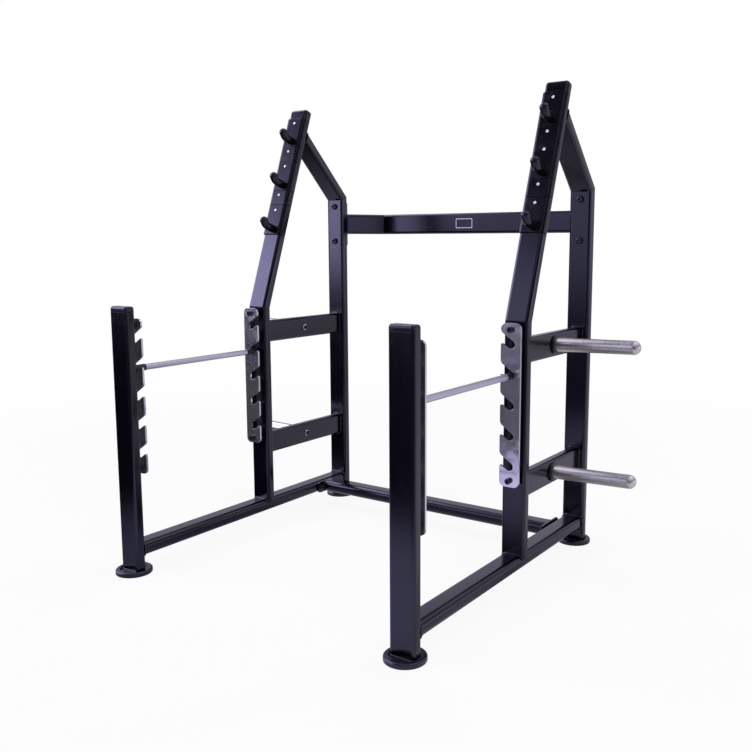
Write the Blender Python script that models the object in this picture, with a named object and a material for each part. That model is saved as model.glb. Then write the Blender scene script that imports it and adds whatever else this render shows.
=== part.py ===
"""Squat rack with notched catch plates, three pairs of bar hooks and four weight pegs.

Metres, +Z up, the user stands at -Y. The origin is on the floor at the centre of the
rack's box. Each side frame is a row of rectangular steel tubes butted or mitred together,
and two crossbeams bolt the side frames to each other. Bolts, screws and spacers are one
body with the piece that they hold.
"""

from math import atan2, cos, hypot, pi, radians, sin, tan

import bmesh
import bpy
from mathutils import Matrix, Vector

# Fit between touching pieces
GAP = 0.0003
HOLE_CLEARANCE = 0.0005

# Rectangular tube for the uprights, braces and upper crossbeam
TUBE_WIDTH = 0.090
TUBE_DEPTH = 0.040
TUBE_CORNER = 0.012
TUBE_WALL = 0.003

# Rectangular tube for the base and the lower crossbeam, laid flat
BASE_WIDTH = 0.080
BASE_HEIGHT = 0.050
BASE_CORNER = 0.020
BASE_UNDERSIDE = 0.061

# Where the uprights stand: side frames across X, front faces along Y
FRAME_SPACING = 1.200
FRONT_TO_MAIN = 0.681
MAIN_TO_REAR = 0.521

# Catch plates for the safety rods: heights of the plate and of its notches
PLATE_WIDTH = 0.075
PLATE_THICKNESS = 0.008
PLATE_CORNER = 0.020
PLATE_STANDOFF = 0.026
PLATE_TOP = 0.925
PLATE_ABOVE_NOTCHES = 0.072
PLATE_BELOW_NOTCHES = 0.0725
PLATE_BOLT_INSET = 0.022
NOTCH_COUNT = 5
NOTCH_PITCH = 0.105
NOTCH_CLEARANCE = 0.0025
NOTCH_SLOPE = radians(33)
NOTCH_LIP = 0.005
NOTCH_TOOTH = 0.018
SPACER_RADIUS = 0.010

# Safety rods with a plastic sleeve on each end, in the second notch from the top
ROD_RADIUS = 0.011
ROD_NOTCH = 1
ROD_TO_UPRIGHT = 0.006
SLEEVE_LENGTH = 0.060
SLEEVE_WALL = 0.001
SLEEVE_END = 0.003
SLEEVE_EDGE = 0.001

# Tops, bends and angles of the uprights, and the main one's reach down past the base's top
MAIN_COPE = 0.014
POST_ABOVE_PLATE = 0.026
BEND_ABOVE_PLATE = 0.005
MAIN_LEAN = radians(19.2)
LEAN_ABOVE_COVERS = 0.021
REAR_BEND_HEIGHT = 1.400
DIAGONAL_LEAN = radians(45.9)

# Braces between the main and the rear upright
BRACE_BELOW_BEND = 0.0615
LOWER_BRACE_HEIGHT = 0.3475

# Caps that close the tops of the open tubes
CAP_HEAD = 0.020
CAP_EDGE = 0.008
CAP_PLUG = 0.022
PLUG_CLEARANCE = 0.0005

# Round rubber feet: a cup with a wide rim, whose plug goes up into the tube
FOOT_FLOOR = 0.010
FOOT_HEIGHT = 0.017
FOOT_RIM = 0.015
FOOT_RECESS_CLEARANCE = 0.004
FOOT_EDGE = 0.006
FOOT_PLUG = 0.020

# Covers on the leaning tube's front, measured up that face from its bend
HOOK_COUNT = 3
HOOK_PITCH = 0.195
COVER_START = 0.313
COVER_LENGTH = 0.130
COVER_THICKNESS = 0.007
COVER_SIDE = 0.003
COVER_WRAP = 0.020
COVER_SCREW_HEIGHT = 0.105
SPACER_SCREW_HEIGHT = 0.042

# Bar hooks, each through its cover and seated on the tube
HOOK_RADIUS = 0.016
HOOK_ABOVE_COVER_END = 0.025
HOOK_STRAIGHT = 0.034
HOOK_BEND_RADIUS = 0.028
HOOK_BEND = radians(50)
HOOK_TIP = 0.006
HOOK_KNOB_SWELL = 0.001
HOOK_STUD_RADIUS = 0.010

# Weight pegs on the outer faces of the braces
PEG_RADIUS = 0.025
PEG_WALL = 0.003
PEG_LENGTH = 0.310
PEG_DOME = 0.024
PEG_END_WALL = 0.006
PEG_TILT = radians(1.4)
PEG_FLANGE_RIM = 0.010
PEG_FLANGE_THICKNESS = 0.008
PEG_BOSS = 0.020
STUD_CLEARANCE = 0.0015

# Upper crossbeam, set back behind the rear uprights on angled ends
BEAM_SETBACK = 0.188
BEAM_INSET = 0.116
BEAM_FLANGE_HEIGHT = 0.200
BEAM_FLANGE_BELOW_BEND = 0.023
FLANGE_THICKNESS = 0.008
FLANGE_CORNER = 0.010
FLANGE_BOLT_INSET = 0.022
VENT_RADIUS = 0.006

# Lower crossbeam between the base tubes
LOWER_FLANGE_LENGTH = 0.150
LOWER_FLANGE_CLEARANCE = 0.0465
LOWER_BOLT_INSET = 0.016

# Fasteners: shank radius, head radius, head height
PLATE_BOLT = (0.005, 0.0105, 0.012)
FLANGE_BOLT = (0.005, 0.010, 0.006)
COVER_SCREW = (0.003, 0.0055, 0.0025)
PEG_STUD = (0.008, 0.012, 0.008)
NUT_RADIUS = 0.0098
NUT_HEIGHT = 0.008
THREAD_BEYOND = 0.008

# Facets
CORNER_STEPS = 3
NOTCH_STEPS = 5
BOLT_STEPS = 8
ROUND_STEPS = 16
FOOT_STEPS = 20

SIDES = (("left", -1), ("right", 1))
UP = Vector((0, 0, 1))
BACK = Vector((0, 1, 0))
RIGHT = Vector((1, 0, 0))

# Places that follow from the sizes above
FRAME_X = FRAME_SPACING / 2
POST_REACH = hypot(TUBE_WIDTH / 2 - TUBE_CORNER, TUBE_DEPTH / 2 - TUBE_CORNER) + TUBE_CORNER
FOOT_RECESS = POST_REACH + FOOT_RECESS_CLEARANCE
FOOT_RADIUS = FOOT_RECESS + FOOT_RIM
BEAM_Y_FROM_FRONT = FRONT_TO_MAIN + MAIN_TO_REAR + TUBE_DEPTH + BEAM_SETBACK
FRONT_Y = -(BEAM_Y_FROM_FRONT + TUBE_DEPTH - FOOT_RADIUS) / 2
MAIN_Y = FRONT_Y + FRONT_TO_MAIN
REAR_Y = MAIN_Y + MAIN_TO_REAR
BEAM_Y = FRONT_Y + BEAM_Y_FROM_FRONT
POST_BOTTOM = FOOT_FLOOR + GAP
BASE_MIDDLE = BASE_UNDERSIDE + BASE_HEIGHT / 2
BASE_TOP = BASE_UNDERSIDE + BASE_HEIGHT
FRONT_POST_TOP = PLATE_TOP + POST_ABOVE_PLATE
BEND_HEIGHT = PLATE_TOP + BEND_ABOVE_PLATE
UPPER_BRACE_HEIGHT = BEND_HEIGHT - BRACE_BELOW_BEND - TUBE_WIDTH / 2
COVERS_TOP = COVER_START + HOOK_PITCH * (HOOK_COUNT - 1) + COVER_LENGTH
LEAN_DIRECTION = Vector((0, sin(MAIN_LEAN), cos(MAIN_LEAN)))
LEAN_BACK = Vector((0, cos(MAIN_LEAN), -sin(MAIN_LEAN)))
DIAGONAL_DIRECTION = Vector((0, -sin(DIAGONAL_LEAN), cos(DIAGONAL_LEAN)))
FRONT_PLATE_Y = FRONT_Y + TUBE_DEPTH + PLATE_STANDOFF
MAIN_PLATE_Y = MAIN_Y - PLATE_STANDOFF - PLATE_THICKNESS
BRACE_MIDDLE_Y = (MAIN_Y + TUBE_DEPTH + REAR_Y) / 2
BEAM_HEIGHT = REAR_BEND_HEIGHT - BEAM_FLANGE_BELOW_BEND - BEAM_FLANGE_HEIGHT / 2
BEAM_FLANGE_WIDTH = TUBE_WIDTH
LOWER_BEAM_Y = REAR_Y - LOWER_FLANGE_CLEARANCE - LOWER_FLANGE_LENGTH / 2
SLEEVE_RADIUS = ROD_RADIUS + GAP + SLEEVE_WALL
NOTCH_RADIUS = SLEEVE_RADIUS + NOTCH_CLEARANCE
NOTCH_HEIGHTS = [PLATE_TOP - PLATE_ABOVE_NOTCHES - NOTCH_PITCH * n for n in range(NOTCH_COUNT)]
PLATE_BOTTOM = NOTCH_HEIGHTS[-1] - PLATE_BELOW_NOTCHES
PLATE_BOLT_HEIGHTS = (PLATE_BOTTOM + PLATE_BOLT_INSET, PLATE_TOP - PLATE_BOLT_INSET)
BEAM_BOLT_LIFT = BEAM_FLANGE_HEIGHT / 2 - FLANGE_BOLT_INSET
LOWER_BOLT_SHIFT = LOWER_FLANGE_LENGTH / 2 - LOWER_BOLT_INSET


def clear_scene():
    for item in list(bpy.data.objects):
        bpy.data.objects.remove(item, do_unlink=True)


def material(name, colour, roughness, metallic=0.0):
    finish = bpy.data.materials.new(name)
    finish.use_nodes = True
    shader = finish.node_tree.nodes["Principled BSDF"]
    shader.inputs["Base Color"].default_value = (*colour, 1.0)
    shader.inputs["Roughness"].default_value = roughness
    shader.inputs["Metallic"].default_value = metallic
    finish.diffuse_color = (*colour, 1.0)
    return finish


def add_object(name, mesh_builder, finish, placement=None):
    """Closes a bmesh into a named object at its placement."""
    bmesh.ops.recalc_face_normals(mesh_builder, faces=mesh_builder.faces[:])
    mesh = bpy.data.meshes.new(name)
    mesh_builder.to_mesh(mesh)
    mesh_builder.free()
    mesh.shade_smooth()
    mesh.set_sharp_from_angle(angle=radians(35))
    item = bpy.data.objects.new(name, mesh)
    mesh.materials.append(finish)
    bpy.context.scene.collection.objects.link(item)
    if placement is not None:
        item.matrix_world = placement
    return item


def combine(item, mesh_builder, label, operation):
    """Cuts closed shapes out of the item, or joins them to it, as a live Boolean."""
    guide = add_object(f"{label}_{item.name}", mesh_builder, item.data.materials[0])
    guide.hide_render = True
    guide.display_type = "WIRE"
    change = item.modifiers.new(label, "BOOLEAN")
    change.operation = operation
    change.solver = "EXACT"
    change.object = guide


def across(direction):
    """Some axis that isn't along this direction."""
    return RIGHT if abs(direction.x) < 0.9 else UP


def frame_along(direction, side, place):
    """A placement whose Z runs along direction and whose X runs along side."""
    z_axis = direction.normalized()
    x_axis = (side - z_axis * side.dot(z_axis)).normalized()
    y_axis = z_axis.cross(x_axis)
    turn = Matrix((x_axis, y_axis, z_axis)).transposed().to_4x4()
    return Matrix.Translation(place) @ turn


def rounded_outline(corners):
    """Turns (x, y, radius, steps) corners into a closed outline with arcs at them."""
    outline = []
    for number, (x, y, radius, steps) in enumerate(corners):
        here = Vector((x, y))
        before = Vector(corners[number - 1][:2]) - here
        after = Vector(corners[(number + 1) % len(corners)][:2]) - here
        before.normalize()
        after.normalize()
        half = before.angle(after) / 2
        centre = here + (before + after).normalized() * (radius / sin(half))
        first = here + before * (radius / tan(half)) - centre
        last = here + after * (radius / tan(half)) - centre
        turn = first.angle_signed(last)
        for step in range(steps + 1):
            angle = atan2(first.y, first.x) - turn * step / steps
            point = Vector((centre.x + radius * cos(angle), centre.y + radius * sin(angle)))
            if not outline or (point - outline[-1]).length > GAP / 10:
                outline.append(point)
    return outline


def rounded_rectangle(width, depth, radius):
    x = width / 2
    y = depth / 2
    places = ((x, y), (-x, y), (-x, -y), (x, -y))
    return rounded_outline([(*place, radius, CORNER_STEPS) for place in places])


def extrude_outline(mesh_builder, outline, height, placement=None):
    """Raises a flat outline by height, standing at its placement."""
    ring = [mesh_builder.verts.new((point.x, point.y, 0)) for point in outline]
    lower = mesh_builder.faces.new(ring)
    raised = bmesh.ops.extrude_face_region(mesh_builder, geom=[lower])["geom"]
    top = [part for part in raised if isinstance(part, bmesh.types.BMVert)]
    bmesh.ops.translate(mesh_builder, vec=(0, 0, height), verts=top)
    if placement is not None:
        bmesh.ops.transform(mesh_builder, matrix=placement, verts=ring + top)


def join_rings(mesh_builder, rings):
    for low, high in zip(rings, rings[1:]):
        steps = max(len(low), len(high))
        for step in range(steps):
            after = (step + 1) % steps
            corners = [low[step % len(low)], low[after % len(low)]]
            corners += [high[after % len(high)], high[step % len(high)]]
            mesh_builder.faces.new(list(dict.fromkeys(corners)))


def revolve(mesh_builder, profile, placement, steps, slope=None):
    """Turns (radius, height) points round Z. The profile starts and ends on the axis.

    A point with a third entry lies on the plane through its height whose normal is slope.
    """
    normal = placement.to_3x3().transposed() @ slope if slope else UP
    rings = []
    for radius, height, *sloped in profile:
        count = steps if radius > 0 else 1
        ring = []
        for step in range(count):
            x = radius * cos(2 * pi * step / steps)
            y = radius * sin(2 * pi * step / steps)
            drop = (normal.x * x + normal.y * y) / normal.z if sloped else 0
            ring.append(mesh_builder.verts.new(placement @ Vector((x, y, height - drop))))
        rings.append(ring)
    join_rings(mesh_builder, rings)


def drill(item, holes, steps=BOLT_STEPS):
    """Cuts straight round holes, each a (middle, direction, radius, length)."""
    cutter = bmesh.new()
    for middle, direction, radius, length in holes:
        placement = frame_along(direction, across(direction), middle)
        profile = [(0, -length / 2), (radius, -length / 2), (radius, length / 2), (0, length / 2)]
        revolve(cutter, profile, placement, steps)
    combine(item, cutter, "holes", "DIFFERENCE")


def tube(name, size, path, side, cuts=(None, None), gaps=(GAP, GAP)):
    """A hollow rectangular tube along a path, with its width along side.

    Its size is width, depth and corner radius. Bends are mitred. Each end is cut by a plane
    with the given normal, square to the tube if there is none, and stands back by its gap.
    """
    width, depth, corner = size
    outer = rounded_rectangle(width, depth, corner)
    inner = rounded_rectangle(width - 2 * TUBE_WALL, depth - 2 * TUBE_WALL, corner - TUBE_WALL)
    runs = [(after - before).normalized() for before, after in zip(path, path[1:])]
    normals = [cuts[0] or runs[0]]
    normals += [(before + after).normalized() for before, after in zip(runs, runs[1:])]
    normals.append(cuts[1] or runs[-1])
    shifts = [gaps[0]] + [0] * (len(path) - 2) + [-gaps[1]]
    placement = frame_along(runs[0], side, path[0])
    to_local = placement.inverted()
    mesh_builder = bmesh.new()
    walls = []
    for outline in (outer, inner):
        rings = []
        for number, (place, normal, shift) in enumerate(zip(path, normals, shifts)):
            run = runs[min(number, len(runs) - 1)]
            section = frame_along(run, side, place + run * shift / abs(run.dot(normal)))
            ring = []
            for x, y in outline:
                offset = section.to_3x3() @ Vector((x, y, 0))
                point = section.translation + offset - run * offset.dot(normal) / run.dot(normal)
                ring.append(mesh_builder.verts.new(to_local @ point))
            rings.append(ring)
        walls.append(rings)
    outside, inside = walls
    join_rings(mesh_builder, outside + inside[::-1] + outside[:1])
    return add_object(name, mesh_builder, STEEL_BLACK, placement)


def fastener(mesh_builder, seat, direction, sizes, grip, sunk):
    """A bolt or screw. Direction points to its head, which starts sunk below the seat."""
    shank, head, height = sizes
    edge = height / 5
    profile = [(0, -grip), (shank, -grip), (shank, -sunk), (head, -sunk), (head, height - edge)]
    profile += [(head - edge, height), (0, height)]
    revolve(mesh_builder, profile, frame_along(direction, across(direction), seat), BOLT_STEPS)


def plug_outline():
    """What fits inside the open end of an upright's tube."""
    inside = 2 * (TUBE_WALL + PLUG_CLEARANCE)
    radius = TUBE_CORNER - TUBE_WALL - PLUG_CLEARANCE
    return rounded_rectangle(TUBE_WIDTH - inside, TUBE_DEPTH - inside, radius)


def cap(name, top, direction):
    """A moulded cap: a round-edged head flush with the tube, and a plug inside it."""
    rings = []
    mesh_builder = bmesh.new()
    for height in (-CAP_PLUG, GAP):
        rings.append([mesh_builder.verts.new((x, y, height)) for x, y in plug_outline()])
    head = rounded_rectangle(TUBE_WIDTH, TUBE_DEPTH, TUBE_CORNER)
    profile = [(0, GAP), (0, CAP_HEAD - CAP_EDGE)]
    for step in range(1, CORNER_STEPS + 1):
        angle = pi / 2 * step / CORNER_STEPS
        inset = CAP_EDGE * (1 - cos(angle))
        profile.append((inset, CAP_HEAD - CAP_EDGE * (1 - sin(angle))))
    for inset, height in profile:
        shrink_x = 1 - 2 * inset / TUBE_WIDTH
        shrink_y = 1 - 2 * inset / TUBE_DEPTH
        points = [(x * shrink_x, y * shrink_y, height) for x, y in head]
        rings.append([mesh_builder.verts.new(point) for point in points])
    join_rings(mesh_builder, rings)
    mesh_builder.faces.new(rings[-1])
    mesh_builder.faces.new(rings[0])
    return add_object(name, mesh_builder, PLASTIC_BLACK, frame_along(direction, RIGHT, top))


def foot(name, side, y):
    """A rubber cup under an upright, with a rounded rim and a plug up into the tube."""
    lower = FOOT_EDGE / 3
    profile = [(0, 0), (FOOT_RADIUS - lower, 0), (FOOT_RADIUS, lower)]
    for step in range(CORNER_STEPS + 1):
        angle = pi / 2 * step / CORNER_STEPS
        height = FOOT_HEIGHT - FOOT_EDGE * (1 - sin(angle))
        profile.append((FOOT_RADIUS - FOOT_EDGE * (1 - cos(angle)), height))
    profile += [(FOOT_RECESS, FOOT_HEIGHT), (FOOT_RECESS, FOOT_FLOOR), (0, FOOT_FLOOR)]
    mesh_builder = bmesh.new()
    revolve(mesh_builder, profile, Matrix.Identity(4), FOOT_STEPS)
    middle = Vector((side * FRAME_X, y + TUBE_DEPTH / 2, 0))
    item = add_object(name, mesh_builder, RUBBER_BLACK, Matrix.Translation(middle))
    plug = bmesh.new()
    start = FOOT_FLOOR / 2
    base = Matrix.Translation(middle + UP * start)
    extrude_outline(plug, plug_outline(), POST_BOTTOM - start + FOOT_PLUG, base)
    combine(item, plug, "plug", "UNION")


def catch_plate_outline():
    """The plate seen from the front, x towards the rack's middle and y up.

    Each notch is a channel that slopes down from the inner edge to a round seat on the
    plate's middle line. Its mouth has a small rounded lip below and a fuller tooth above.
    """
    edge = PLATE_WIDTH / 2
    run = Vector((cos(NOTCH_SLOPE), sin(NOTCH_SLOPE)))
    rise = Vector((-run.y, run.x))
    corners = [(-edge, PLATE_TOP, PLATE_CORNER, CORNER_STEPS)]
    corners.append((-edge, PLATE_BOTTOM, PLATE_CORNER, CORNER_STEPS))
    corners.append((edge, PLATE_BOTTOM, PLATE_CORNER, CORNER_STEPS))
    for height in reversed(NOTCH_HEIGHTS):
        seat = Vector((0, height))
        lower = seat - rise * NOTCH_RADIUS
        upper = seat + rise * NOTCH_RADIUS
        lip = lower + run * ((edge - lower.x) / run.x)
        tooth = upper + run * ((edge - upper.x) / run.x)
        corners.append((*lip, NOTCH_LIP, CORNER_STEPS))
        corners.append((*(lower - run * NOTCH_RADIUS), NOTCH_RADIUS, NOTCH_STEPS))
        corners.append((*(upper - run * NOTCH_RADIUS), NOTCH_RADIUS, NOTCH_STEPS))
        corners.append((*tooth, NOTCH_TOOTH, CORNER_STEPS))
    corners.append((edge, PLATE_TOP, PLATE_CORNER, CORNER_STEPS))
    return rounded_outline(corners)


def catch_plate(name, side, y, outwards):
    """A notched plate with its front face at y, and the bolts and spacers that hold it.

    Outwards points from the upright to the bolts' heads.
    """
    mesh_builder = bmesh.new()
    # the outline's x faces the rack's middle and its y is height
    stand = Matrix(((-side, 0, 0, 0), (0, 0, 1, 0), (0, 1, 0, 0), (0, 0, 0, 1)))
    extrude_outline(mesh_builder, catch_plate_outline(), PLATE_THICKNESS, stand)
    place = Matrix.Translation((side * FRAME_X, y, 0))
    plate = add_object(name, mesh_builder, STEEL_PLATED, place)
    middle = PLATE_THICKNESS / 2
    reach = PLATE_STANDOFF + middle
    spacers = bmesh.new()
    bolts = bmesh.new()
    for height in PLATE_BOLT_HEIGHTS:
        centre = Vector((side * FRAME_X, y + middle, height))
        profile = [(0, GAP - reach), (SPACER_RADIUS, GAP - reach), (SPACER_RADIUS, 0), (0, 0)]
        revolve(spacers, profile, frame_along(outwards, RIGHT, centre), ROUND_STEPS)
        grip = middle + reach + TUBE_WALL + THREAD_BEYOND
        seat = centre + outwards * middle
        fastener(bolts, seat, outwards, PLATE_BOLT, grip, middle / 2)
    combine(plate, spacers, "spacers", "UNION")
    combine(plate, bolts, "bolts", "UNION")


def rod_seat(side):
    """The middle line of a rod as its sleeves lie in their notches."""
    drop = NOTCH_RADIUS - SLEEVE_RADIUS - GAP
    return Vector((side * FRAME_X, 0, NOTCH_HEIGHTS[ROD_NOTCH] - drop))


def safety_rod(word, side):
    """A round bar through the front and the main plate, with a closed sleeve on each end."""
    front = FRONT_Y + TUBE_DEPTH + ROD_TO_UPRIGHT
    back = MAIN_Y - ROD_TO_UPRIGHT
    middle = rod_seat(side) + BACK * (front + back) / 2
    placement = frame_along(BACK, RIGHT, middle)
    end = (back - front) / 2
    half = end - SLEEVE_END - GAP
    edge = SLEEVE_EDGE
    tip = ROD_RADIUS - edge
    profile = [(0, -half), (tip, -half), (ROD_RADIUS, edge - half)]
    profile += [(ROD_RADIUS, half - edge), (tip, half), (0, half)]
    mesh_builder = bmesh.new()
    revolve(mesh_builder, profile, Matrix.Identity(4), ROUND_STEPS)
    add_object(f"safety_rod_{word}", mesh_builder, STEEL_PLATED, placement)
    bore = ROD_RADIUS + GAP
    profile = [(0, half + GAP), (bore, half + GAP), (bore, end - SLEEVE_LENGTH)]
    profile += [(SLEEVE_RADIUS, end - SLEEVE_LENGTH), (SLEEVE_RADIUS, end - edge)]
    profile += [(SLEEVE_RADIUS - edge, end), (0, end)]
    for where, direction in (("front", -BACK), ("rear", BACK)):
        sleeve = bmesh.new()
        revolve(sleeve, profile, Matrix.Identity(4), ROUND_STEPS)
        placement = frame_along(direction, RIGHT, middle)
        add_object(f"rod_sleeve_{where}_{word}", sleeve, PLASTIC_BLACK, placement)


def lean_placement(side):
    """The leaning tube's own frame: Z up the tube, Y to its back, from the bend."""
    drop = TUBE_DEPTH / 2 * tan(MAIN_LEAN / 2)
    bend = Vector((side * FRAME_X, MAIN_Y + TUBE_DEPTH / 2, BEND_HEIGHT - drop))
    return frame_along(LEAN_DIRECTION, RIGHT, bend)


def on_the_front(distance):
    """A place on the leaning tube's front, in its frame, measured up that face."""
    return Vector((0, -TUBE_DEPTH / 2, distance - TUBE_DEPTH / 2 * tan(MAIN_LEAN / 2)))


def cover_spans():
    """Name, start, length, screw height and hook height of each cover, from the bend."""
    spans = []
    for number, word in enumerate(("low", "middle", "high")[-HOOK_COUNT:]):
        start = COVER_START + HOOK_PITCH * number
        hook = start + HOOK_ABOVE_COVER_END
        spans.append((f"hook_cover_{word}", start, COVER_LENGTH, COVER_SCREW_HEIGHT, hook))
        if number < HOOK_COUNT - 1:
            start += COVER_LENGTH
            length = HOOK_PITCH - COVER_LENGTH
            name = f"spacer_cover_{'low' if number == 0 else 'high'}"
            spans.append((name, start, length, SPACER_SCREW_HEIGHT, None))
    return spans


def cover_outline():
    """The cover's section: a channel over the tube's front and round both corners."""
    back = -TUBE_DEPTH / 2 + COVER_WRAP
    inner = TUBE_WIDTH / 2 + GAP
    outer = inner + COVER_SIDE
    face = -TUBE_DEPTH / 2 - GAP
    front = face - COVER_THICKNESS
    edge = COVER_SIDE / 3
    round_out = TUBE_CORNER + COVER_SIDE
    few = 1
    corners = [(outer, back, edge, few), (inner, back, edge, few)]
    corners += [(inner, face, TUBE_CORNER, CORNER_STEPS), (-inner, face, TUBE_CORNER, CORNER_STEPS)]
    corners += [(-inner, back, edge, few), (-outer, back, edge, few)]
    corners += [(-outer, front, round_out, CORNER_STEPS), (outer, front, round_out, CORNER_STEPS)]
    return rounded_outline(corners)


def cover(name, side, span):
    """One cover with its screw, and the hole that a bar hook passes through."""
    _, start, length, screw, hook = span
    lean = lean_placement(side)
    foot_of_cover = Matrix.Translation(lean @ Vector((0, 0, on_the_front(start).z)))
    placement = foot_of_cover @ lean.to_3x3().to_4x4()
    mesh_builder = bmesh.new()
    extrude_outline(mesh_builder, cover_outline(), length - GAP)
    item = add_object(name, mesh_builder, PLASTIC_BLACK, placement)
    if hook is not None:
        spot = lean @ on_the_front(hook)
        hole = HOOK_RADIUS + HOLE_CLEARANCE
        drill(item, [(spot, LEAN_BACK, hole, 3 * COVER_THICKNESS)], ROUND_STEPS)
    seat = lean @ on_the_front(start + screw) - LEAN_BACK * (COVER_THICKNESS + GAP)
    grip = COVER_THICKNESS + GAP + TUBE_WALL + THREAD_BEYOND
    bolts = bmesh.new()
    fastener(bolts, seat, -LEAN_BACK, COVER_SCREW, grip, COVER_THICKNESS / 2)
    combine(item, bolts, "screw", "UNION")


def bar_hook(name, side, height):
    """A sleeved round bar that stands out from the tube and bends up to a rounded knob."""
    placement = lean_placement(side)
    root = on_the_front(height)
    inside = TUBE_WALL + THREAD_BEYOND
    stations = [(-inside, 0, 0, HOOK_STUD_RADIUS), (GAP, 0, 0, HOOK_STUD_RADIUS)]
    stations += [(GAP, 0, 0, HOOK_RADIUS), (HOOK_STRAIGHT, 0, 0, HOOK_RADIUS)]
    for step in range(1, CORNER_STEPS + 1):
        angle = HOOK_BEND * step / CORNER_STEPS
        out = HOOK_STRAIGHT + HOOK_BEND_RADIUS * sin(angle)
        rise = HOOK_BEND_RADIUS * (1 - cos(angle))
        stations.append((out, rise, angle, HOOK_RADIUS))
    knob = HOOK_RADIUS + HOOK_KNOB_SWELL
    for step in range(CORNER_STEPS + 1):
        angle = pi / 2 * step / CORNER_STEPS
        along = HOOK_TIP + knob * sin(angle)
        place = (out + along * cos(HOOK_BEND), rise + along * sin(HOOK_BEND))
        stations.append((*place, HOOK_BEND, knob * cos(angle) if step < CORNER_STEPS else 0))
    mesh_builder = bmesh.new()
    rings = []
    for out, rise, angle, radius in stations:
        ring = []
        for step in range(ROUND_STEPS if radius else 1):
            x = radius * cos(2 * pi * step / ROUND_STEPS)
            y = radius * sin(2 * pi * step / ROUND_STEPS)
            bent = Vector((x, y * sin(angle) - out, rise + y * cos(angle)))
            ring.append(mesh_builder.verts.new(bent))
        rings.append(ring)
    join_rings(mesh_builder, rings)
    mesh_builder.faces.new(rings[0])
    stand = Matrix.Translation(placement @ root) @ placement.to_3x3().to_4x4()
    add_object(name, mesh_builder, SLEEVE_BLACK, stand)


def weight_peg(level, word, side, height):
    """A hollow domed peg over the boss of a dark flange, whose stud grips the brace."""
    outwards = Vector((side * cos(PEG_TILT), 0, sin(PEG_TILT)))
    placement = frame_along(outwards, BACK, Vector((side * FRAME_X, BRACE_MIDDLE_Y, height)))
    face = (TUBE_DEPTH / 2 + GAP) / cos(PEG_TILT)
    root = face + PEG_FLANGE_THICKNESS
    start = root + GAP
    end = start + PEG_LENGTH
    bore = PEG_RADIUS - PEG_WALL
    bore_end = end - PEG_DOME - PEG_END_WALL
    profile = [(0, bore_end), (bore, bore_end), (bore, start), (PEG_RADIUS, start)]
    for step in range(CORNER_STEPS + 1):
        angle = pi / 2 * step / CORNER_STEPS
        radius = PEG_RADIUS * cos(angle) if step < CORNER_STEPS else 0
        profile.append((radius, end - PEG_DOME * (1 - sin(angle))))
    peg = bmesh.new()
    revolve(peg, profile, Matrix.Identity(4), FOOT_STEPS)
    add_object(f"weight_peg_{level}_{word}", peg, STAINLESS, placement)

    shank, head, head_height = PEG_STUD
    boss = bore - GAP
    rim = PEG_RADIUS + PEG_FLANGE_RIM
    edge = PEG_FLANGE_THICKNESS / 4
    profile = [(0, -face - head_height), (head, -face - head_height), (head, -face, True)]
    profile += [(shank, -face, True), (shank, face, True), (rim, face, True)]
    profile += [(rim, root - edge), (rim - edge, root), (boss, root)]
    profile += [(boss, root + PEG_BOSS), (0, root + PEG_BOSS)]
    flange = bmesh.new()
    revolve(flange, profile, placement, ROUND_STEPS, slope=RIGHT * side)
    add_object(f"peg_flange_{level}_{word}", flange, STEEL_DARK)


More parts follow.
